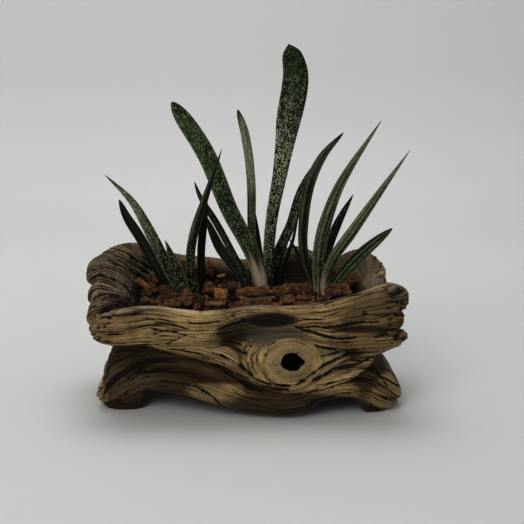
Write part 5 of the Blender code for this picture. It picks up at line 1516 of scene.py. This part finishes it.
def make_chip(blank, number, place, length, width, turn, pitch, roll, tone, draw, rough):
    """A flake of bark: torn ends, uneven sides, layered and curled along its length."""
    piece = blank.copy()
    piece.data = blank.data.copy()
    bpy.context.scene.collection.objects.link(piece)
    u, v, w = read_places(piece.data).T
    square = np.maximum(np.abs(u), np.abs(v))
    circle = np.hypot(u, v)
    pull = blend(1.0, square / np.maximum(circle, 1e-6), draw.uniform(*CHIP_SQUARENESS))
    seed = CHIP_SEED * 1000 + number
    ones = np.ones(len(u))
    outline = 1 + 0.35 * noise(np.stack((u * 1.1, v * 1.1, number * 3.7 * ones), axis=1), seed)
    torn = 0.16 * noise(np.stack((v * 2.6, number * 1.3 * ones, 0.6 * w), axis=1), seed + 3)
    x = u * pull * (outline + torn) * length / 2
    y = v * pull * outline * width / 2
    thickness = draw.uniform(*CHIP_THICKNESS) * (1 - 0.3 * np.clip(square, 0, 1) ** 4)
    fibre = noise(np.stack((x / 5.5, y / 1.3, 0.4 * w + number * 5.1), axis=1), seed + 1)
    coarse = noise(np.stack((x / 4.0, y / 4.0, number * 2.3 * ones), axis=1), seed + 2)
    z = (w * thickness / 2 + draw.uniform(*CHIP_CROSS_BEND) * y * y / width * 3
         + draw.uniform(*CHIP_LONG_BEND) * x * x / length * 2
         + rough * (0.3 * fibre + 0.5 * coarse))
    shaped = np.stack((x, y, z), axis=1)
    lean = Euler((math.radians(pitch), math.radians(roll), 0)).to_matrix()
    spun = Euler((0, 0, math.radians(turn))).to_matrix()
    shaped = shaped @ np.array(lean @ spun).T + np.array(place)
    write_places(piece.data, to_frame(shaped))
    height = shaped[:, 2]
    low, high = height.min(), height.max()
    # Painted shade: dark along each chip's lowest part, like a contact shadow, and near the bed
    foot = 0.9 * (1 - smooth((height - low) / (0.5 * (high - low))))
    keep_value(piece.data, "tone", tone + 0.25 * fibre + 0.2 * coarse)
    # Paler rim round the top face: broken bark, partly a painted highlight
    keep_value(piece.data, "edge", smooth((square - 0.6) / 0.4) * (w > 0))
    keep_value(piece.data, "sunk", np.maximum(1 - smooth((height - MULCH_TOP - 0.4) / 3.2), foot))
    return piece


def leaf_spots():
    """Places of the leaves near the mulch, with their half widths."""
    rings = [leaf_ring(leaf, step * LEAF_LOW_SPAN)
             for leaf in LEAVES.values() for step in range(LEAF_LOW_STEPS)]
    return np.array([(ring.middle.x, ring.middle.y, ring.half) for ring in rings
                     if ring.middle.z < LEAF_LOW_TOP])


def make_loose_chip(blank, number, draw, shown, leaves):
    """A chip drawn at random, kept low below shown chips, in gaps and beside the leaves."""
    turn = draw.random()
    share = math.sqrt(draw.random())
    length = LOOSE_LEAST_LENGTH + LOOSE_MORE_LENGTH * draw.random() ** LOOSE_LENGTH_SKEW
    width = length * draw.uniform(*LOOSE_WIDTH)
    x, y = cavity(np.array([turn]), np.array([CAVITY_MOUTH]), length * WALL_NEARNESS)
    x, y = float(x[0]) * share, float(y[0]) * share
    z = MULCH_TOP + draw.uniform(*LOOSE_RISE)
    if (np.hypot(shown[:, 0] - x, shown[:, 1] - y) < shown[:, 2]).any():
        z = MULCH_TOP - GAP_DROP
    near = np.hypot(leaves[:, 0] - x, leaves[:, 1] - y) - leaves[:, 2]
    if near.min() < length * LEAF_NEARNESS:
        z -= LEAF_DROP
        length *= LEAF_SHRINK
        width *= LEAF_SHRINK
    tone = min(1.0, max(0.0, draw.gauss(*LOOSE_TONE)))
    return make_chip(blank, number, (x, y, z), length, width, draw.uniform(0, 360),
                     draw.uniform(*LOOSE_PITCH), draw.uniform(*LOOSE_ROLL), tone, draw,
                     LOOSE_ROUGHNESS)


def make_mulch(material):
    """The bed, the chips that show one by one and the loose chips strewn between them."""
    draw = random.Random(CHIP_SEED)
    blank = chip_blank()
    pieces = [make_mulch_bed()]
    for number, chip in enumerate(SHOWN_CHIPS):
        pieces.append(make_chip(blank, number, *chip, draw, SHOWN_ROUGHNESS))
    leaves = leaf_spots()
    shown = np.array([(*chip[0][:2], CHIP_CROWDING * chip[1]) for chip in SHOWN_CHIPS]
                     + CHIP_GAPS)
    for number in range(len(SHOWN_CHIPS), len(SHOWN_CHIPS) + LOOSE_CHIPS):
        pieces.append(make_loose_chip(blank, number, draw, shown, leaves))
    bpy.data.objects.remove(blank, do_unlink=True)
    deselect_all()
    for piece in pieces:
        piece.select_set(True)
    bpy.context.view_layer.objects.active = pieces[0]
    bpy.ops.object.join()
    mulch = pieces[0]
    mulch.name = "bark_chips"
    mulch.data.name = "bark_chips"
    deselect_all()
    mulch.select_set(True)
    bpy.ops.object.shade_smooth_by_angle(angle=CHIP_CRISP_ANGLE)
    finish_piece(mulch, material, "bark", "bark_mulch")


class Finish:
    """A material's nodes, added and joined in short lines."""

    def __init__(self, name):
        self.material = bpy.data.materials.new(name)
        self.material.use_nodes = True
        self.tree = self.material.node_tree
        self.shader = self.tree.nodes["Principled BSDF"]

    def add(self, kind, **settings):
        node = self.tree.nodes.new(kind)
        for key, value in settings.items():
            setattr(node, key, value)
        return node

    def join(self, value, socket):
        if isinstance(value, bpy.types.NodeSocket):
            self.tree.links.new(value, socket)
        else:
            socket.default_value = value

    def attribute(self, name, output="Fac"):
        return self.add("ShaderNodeAttribute", attribute_name=name).outputs[output]

    def place(self):
        return self.add("ShaderNodeTexCoord").outputs["Object"]

    def scaled(self, vector, scale):
        node = self.add("ShaderNodeMapping")
        self.join(vector, node.inputs["Vector"])
        node.inputs["Scale"].default_value = scale
        return node.outputs["Vector"]

    def noise(self, vector, scale, detail=4.0, rough=0.55):
        node = self.add("ShaderNodeTexNoise")
        self.join(vector, node.inputs["Vector"])
        node.inputs["Scale"].default_value = scale
        node.inputs["Detail"].default_value = detail
        node.inputs["Roughness"].default_value = rough
        return node.outputs["Fac"]

    def cells(self, vector, scale, feature="F1", output="Distance"):
        node = self.add("ShaderNodeTexVoronoi", feature=feature)
        self.join(vector, node.inputs["Vector"])
        node.inputs["Scale"].default_value = scale
        return node.outputs[output]

    def thin_lines(self, vector, width):
        """Thin lines where a noise crosses its middle."""
        away = self.math("ABSOLUTE", self.math("SUBTRACT", self.noise(vector, 1.0, 2.0), 0.5))
        return self.between(away, 0.0, width, 1.0, 0.0)

    def grain_lines(self, grain, spacing, width, sway, start):
        """Thin lines along the grain that sway a little, and start and stop."""
        level = self.add("ShaderNodeSeparateXYZ")
        self.join(grain, level.inputs[0])
        swaying = self.noise(self.scaled(grain, (0.012, 0.012, 0.10 / spacing)), 1.0, 2.0)
        level = self.math("DIVIDE", level.outputs["Z"], spacing)
        level = self.math("ADD", level, self.math("MULTIPLY", swaying, sway))
        away = self.math("PINGPONG", level, 0.5)
        line = self.between(away, 0.3 * width / spacing, 0.75 * width / spacing, 1.0, 0.0)
        parts = self.noise(self.scaled(grain, (0.035, 0.035, 0.9 / spacing)), 1.0, 2.0, 0.6)
        return self.math("MULTIPLY", line, self.between(parts, start, start + 0.12))

    def math(self, operation, first, second=0.0, clamp=False):
        node = self.add("ShaderNodeMath", operation=operation, use_clamp=clamp)
        self.join(first, node.inputs[0])
        self.join(second, node.inputs[1])
        return node.outputs[0]

    def between(self, value, low, high, out_low=0.0, out_high=1.0):
        node = self.add("ShaderNodeMapRange", clamp=True)
        for number, item in enumerate((value, low, high, out_low, out_high)):
            self.join(item, node.inputs[number])
        return node.outputs["Result"]

    def mix(self, share, first, second, blend_type="MIX"):
        node = self.add("ShaderNodeMix", data_type="RGBA", blend_type=blend_type)
        self.join(share, node.inputs["Factor"])
        for value, socket in ((first, node.inputs[6]), (second, node.inputs[7])):
            self.join((*value, 1.0) if isinstance(value, tuple) else value, socket)
        return node.outputs[2]

    def bump(self, height, strength, distance):
        node = self.add("ShaderNodeBump")
        self.join(height, node.inputs["Height"])
        node.inputs["Strength"].default_value = strength
        node.inputs["Distance"].default_value = distance
        return node.outputs["Normal"]

    def lay(self, colour, mark, strength, tint):
        """The colour with a tint laid over it where a mark kept on the mesh is strong."""
        share = self.math("MULTIPLY", self.attribute(mark), strength)
        return self.mix(share, colour, tint)

    def dress(self, colour, roughness, normal=None, shine=None):
        self.join(colour, self.shader.inputs["Base Color"])
        self.join(roughness, self.shader.inputs["Roughness"])
        if normal is not None:
            self.join(normal, self.shader.inputs["Normal"])
        if shine is not None:
            self.shader.inputs["Specular IOR Level"].default_value = shine
        return self.material


def driftwood_finish():
    """Cast and painted driftwood: weathered ochre and grey ridges, dark wash in every groove,
    painted shade in the hollows and inside the rim, painted light on the left foot.
    """
    finish = Finish("driftwood_cast")
    grain = finish.attribute("grain", "Vector")
    place = finish.place()
    streaks = finish.noise(finish.scaled(grain, (0.018, 0.018, 0.42)), 1.0, 5.0, 0.62)
    broad, fine, hair, lip = (finish.grain_lines(grain, *lines) for lines in
                              (BROAD_LINES, FINE_LINES, HAIR_LINES, LIP_LINES))
    lip = finish.math("MULTIPLY", lip, finish.attribute("lined"))
    specks = finish.noise(place, 1000.0, 3.0, 0.7)
    clouds = finish.noise(place, 55.0, 4.0, 0.6)
    patches = finish.noise(place, 190.0, 3.0, 0.6)

    streaked = finish.between(streaks, 0.34, 0.66)
    ridge = finish.mix(finish.attribute("warm"), finish.mix(streaked, DARK_GREY, LIGHT_GREY),
                       finish.mix(streaked, DARK_OCHRE, LIGHT_OCHRE))
    ridge = finish.mix(finish.between(clouds, 0.45, 0.7, 0.0, 0.5), ridge, RUSSET)
    ridge = finish.mix(finish.between(finish.attribute("high"), 0.55, 0.95, 0.0, 0.55), ridge,
                       SUNLIT_OCHRE)
    # Painted light over the left foot, brown to gold along the streaks
    foot_painted_light = finish.mix(finish.between(streaks, 0.36, 0.6), PAINTED_LIGHT_BROWN, PAINTED_LIGHT_GOLD)
    cool = finish.mix(finish.between(clouds, 0.35, 0.65), COOL_SLATE, COOL_GREY)
    ridge = finish.lay(ridge, "knot_face", 0.85, KNOT_TAN)
    ridge = finish.lay(ridge, "lined", 0.2, LIP_BROWN)
    ridge = finish.lay(ridge, "foot_painted_light", 0.85, foot_painted_light)
    # Dark wash and painted shade: brown, and black where strongest
    stain_and_shade_share = finish.math("MULTIPLY", finish.attribute("stain_and_shade"),
                          finish.between(streaks, 0.3, 0.7, 1.05, 0.8), clamp=True)
    ridge = finish.mix(stain_and_shade_share, ridge, STAIN_AND_SHADE_BROWN)
    ridge = finish.mix(finish.between(finish.attribute("stain_and_shade"), 0.6, 1.0, 0.0, 0.9), ridge,
                       STAIN_AND_SHADE_BLACK)
    ridge = finish.lay(ridge, "cool", 0.8, cool)

    wash = finish.math("MULTIPLY", broad, 0.8)
    for line, share in ((fine, 0.7), (hair, 0.55), (lip, 0.8)):
        wash = finish.math("ADD", wash, finish.math("MULTIPLY", line, share))
    wash = finish.math("MULTIPLY", wash,
                       finish.between(finish.attribute("still"), 0.0, 1.0, 1.0, 0.1))
    wash = finish.math("ADD", wash, finish.between(patches, 0.52, 0.74, 0.0, 0.3))
    wash = finish.math("ADD", wash, finish.between(specks, 0.5, 0.68, 0.0, 0.3))
    wash = finish.math("ADD", wash, finish.between(finish.attribute("carved"), 0.22, 0.85),
                       clamp=True)
    colour = finish.mix(wash, ridge, WASH_BLACK)
    colour = finish.mix(finish.attribute("hole"), colour, HOLE_BLACK)

    height = streaks
    for line, share in ((broad, 0.6), (fine, 0.4), (hair, 0.2), (lip, 0.5)):
        height = finish.math("SUBTRACT", height, finish.math("MULTIPLY", line, share))
    height = finish.math("ADD", height, finish.math("MULTIPLY", specks, 0.3))
    return finish.dress(colour, 0.75, finish.bump(height, 0.7, 0.0010), shine=0.12)


def leaf_finish():
    """Thick waxy leaf skin with small pale raised dots in rough rows."""
    finish = Finish("gasteria_leaf")
    marks = finish.attribute("marks", "Vector")
    dots = finish.attribute("dots")
    near = finish.cells(finish.scaled(marks, (1.5, 0.95, 1.0)), 1.0)
    patches = finish.noise(finish.scaled(marks, (0.45, 0.18, 1.0)), 1.0, 3.0)
    size = finish.math("MULTIPLY", dots, finish.between(patches, 0.3, 0.65, 0.22, 0.62))
    spot = finish.between(finish.math("SUBTRACT", size, near), -0.06, 0.08)
    streaks = finish.noise(finish.scaled(marks, (1.3, 0.07, 1.0)), 1.0, 4.0)
    mottle = finish.noise(finish.scaled(marks, (1.1, 0.5, 1.0)), 1.0, 4.0, 0.7)
    ground = finish.attribute("ground", "Color")
    shade = finish.math("ADD", finish.between(streaks, 0.4, 0.6, 0.0, 0.65),
                        finish.between(mottle, 0.42, 0.62, 0.0, 0.55), clamp=True)
    shade = finish.math("MULTIPLY", shade,
                        finish.between(finish.attribute("base"), 0.0, 1.0, 1.0, 0.3))
    ground = finish.mix(shade, ground, finish.mix(1.0, ground, LEAF_SHADE, "MULTIPLY"))
    light = finish.mix(finish.attribute("frost"), GREEN_DOTS, FROST_DOTS)
    colour = finish.mix(finish.math("MULTIPLY", spot, 0.9), ground, light)
    height = finish.math("ADD", finish.math("MULTIPLY", spot, 0.6), streaks)
    return finish.dress(colour, finish.between(spot, 0.0, 1.0, 0.42, 0.6),
                        finish.bump(height, 0.35, 0.0006), shine=0.1)


def bark_finish():
    """Flaky red-brown bark, dark in its cracks, with painted shade low on each chip and on the bed,
    and paler broken edges that are partly a painted highlight.
    """
    finish = Finish("bark_flakes")
    place = finish.place()
    tone = finish.attribute("tone")
    layers = finish.noise(finish.scaled(place, (300.0, 300.0, 900.0)), 1.0, 5.0, 0.6)
    patches = finish.noise(place, 240.0, 4.0, 0.6)
    cracks = finish.thin_lines(finish.scaled(place, (230.0, 230.0, 230.0)), 0.035)
    share = finish.math("ADD", tone, finish.between(patches, 0.3, 0.7, -0.25, 0.25), clamp=True)
    layered = finish.between(layers, 0.35, 0.65)
    colour = finish.mix(share, finish.mix(layered, DEEP_BARK, BROWN_BARK),
                        finish.mix(layered, RED_BARK, BRIGHT_BARK))
    drift = finish.noise(place, 75.0, 2.0)
    olive = finish.mix(1.0, colour, OLIVE_CAST, "MULTIPLY")
    colour = finish.mix(finish.between(drift, 0.42, 0.58), colour, olive)
    # Paler broken rims on the top faces, partly a painted highlight
    rim = finish.between(finish.attribute("edge"), 0.45, 0.95)
    colour = finish.mix(finish.math("MULTIPLY", rim, finish.between(patches, 0.42, 0.62, 0.0, 0.6)),
                        colour, BARK_EDGE_HIGHLIGHT)
    tan = finish.between(tone, 1.1, 1.35)
    colour = finish.mix(finish.math("MULTIPLY", tan, 0.9), colour, TAN_BARK)
    # Black in the cracks, and painted shade low on each chip and on the bed
    dark = finish.math("ADD", finish.math("MULTIPLY", cracks, 0.75),
                       finish.math("MULTIPLY", finish.attribute("sunk"), 0.9), clamp=True)
    colour = finish.mix(dark, colour, CRACK_AND_SHADE_BARK)
    height = finish.math("SUBTRACT", layers, finish.math("MULTIPLY", cracks, 0.5))
    return finish.dress(colour, 0.7, finish.bump(height, 0.5, 0.0008), shine=0.08)


def soil_finish():
    """Dark crumbly potting soil, which only shows where the mulch is thin."""
    finish = Finish("potting_mix")
    place = finish.place()
    crumbs = finish.noise(place, 350.0, 5.0, 0.7)
    grit = finish.cells(place, 420.0)
    colour = finish.mix(finish.between(crumbs, 0.35, 0.7), DARK_SOIL, BROWN_SOIL)
    height = finish.math("ADD", crumbs, finish.math("MULTIPLY", grit, 0.5))
    return finish.dress(colour, 0.95, finish.bump(height, 0.8, 0.0015))


def stem_finish():
    """Dry brown stem with paler rings."""
    finish = Finish("stem_scars")
    place = finish.place()
    bands = finish.noise(finish.scaled(place, (60.0, 60.0, 900.0)), 1.0, 3.0)
    colour = finish.mix(finish.between(bands, 0.35, 0.65), DARK_STEM, PALE_STEM)
    return finish.dress(colour, 0.7, finish.bump(bands, 0.5, 0.0008))


def backdrop_finish():
    """Pale grey paper, a little uneven."""
    finish = Finish("pale_backdrop")
    drift = finish.noise(finish.place(), 1.2, 2.0)
    colour = finish.mix(finish.between(drift, 0.3, 0.7), BACKDROP_DARK, BACKDROP_LIGHT)
    return finish.dress(colour, 0.9, shine=0.1)


def make_stage(material):
    """A pale floor that sweeps up behind the object."""
    deselect_all()
    bpy.ops.mesh.primitive_grid_add(x_subdivisions=2, y_subdivisions=60, size=2.0)
    floor = bpy.context.active_object
    floor.name = "backdrop"
    places = read_places(floor.data)
    half_width, whole_run, run_in_front = 2.6, 4.2, 1.6
    bend_start, radius = 0.66, 0.16
    run = (places[:, 1] + 1) / 2 * whole_run - run_in_front
    angle = np.clip((run - bend_start) / radius, 0, math.pi / 2)
    rise = np.maximum(0, run - bend_start - radius * math.pi / 2)
    y = np.minimum(run, bend_start) + radius * np.sin(angle)
    z = radius * (1 - np.cos(angle)) + rise
    write_places(floor.data, np.stack((places[:, 0] * half_width, y, z), axis=1))
    floor.data.shade_smooth()
    floor.data.materials.append(material)


def aim(item, target):
    """Turn a light so that it shines at a place."""
    item.rotation_euler = (Vector(target) - item.location).to_track_quat("-Z", "Y").to_euler()


def make_light(name, place, target, size, power, colour):
    """A round lamp at a place, its size in metres and its power in watts."""
    light = bpy.data.lights.new(name, "AREA")
    light.shape = "DISK"
    light.size = size
    light.energy = power
    light.color = colour
    item = bpy.data.objects.new(name, light)
    bpy.context.scene.collection.objects.link(item)
    item.location = place
    aim(item, target)


def make_camera():
    """The photo's viewpoint: 0.8 m away, 13.5 degrees above the middle of the planter."""
    frame_pixels, focal_pixels, sensor = 524, 1227, 36.0
    distance, aim_height = 0.8, 0.06
    elevation = math.radians(13.5)
    camera = bpy.data.cameras.new("camera")
    camera.sensor_width = sensor
    camera.lens = sensor * focal_pixels / frame_pixels
    item = bpy.data.objects.new("camera", camera)
    bpy.context.scene.collection.objects.link(item)
    item.location = Vector((0, -distance * math.cos(elevation),
                            aim_height + distance * math.sin(elevation)))
    item.location += Vector(CENTRE_SHIFT * MM)
    below_middle, left_of_middle = 42, 13
    pitch = elevation - math.atan(below_middle / focal_pixels)
    yaw = math.atan(left_of_middle / focal_pixels)
    item.rotation_euler = (math.pi / 2 - pitch, 0, -yaw)
    bpy.context.scene.camera = item


def make_lights():
    """Soft light from above and behind, with weak fills from the front and from low on the left."""
    make_light("soft_top", (-0.1, 0.42, 1.12), (-0.05, 0.40, 0.0), 0.9, 5.4, (1.0, 1.0, 0.99))
    make_light("front_fill", (-0.5, -1.3, 1.0), (0.0, 0.0, 0.08), 0.8, 8.0, (1.0, 0.98, 0.95))
    make_light("low_fill", (-0.75, -1.1, 0.22), (-0.05, 0.0, 0.03), 0.7, 2.2, (1.0, 0.97, 0.93))


def make_surroundings():
    """Even light from all round, and the photo's way of showing light and dark."""
    world = bpy.data.worlds.new("studio")
    world.use_nodes = True
    background = world.node_tree.nodes["Background"]
    background.inputs["Color"].default_value = SKY
    background.inputs["Strength"].default_value = 0.36
    bpy.context.scene.world = world
    view = bpy.context.scene.view_settings
    view.view_transform = "Standard"
    view.gamma = 0.8


def main():
    """Build the stage and dress every piece."""
    make_camera()
    make_lights()
    make_surroundings()
    make_stage(backdrop_finish())
    make_planter(driftwood_finish())
    leaf = leaf_finish()
    slots = {item["node"]: item["material_slot"] for item in frame["record"]["subparts"]}
    for number, name in enumerate(LEAVES):
        make_leaf(name, number, leaf, slots[name])
    stem = stem_finish()
    for name in STEMS:
        make_stem(name, stem)
    make_mulch(bark_finish())
    soil = frame["nodes"]["potting_soil"]
    soil.data.materials.clear()
    soil.data.materials.append(soil_finish())


main()
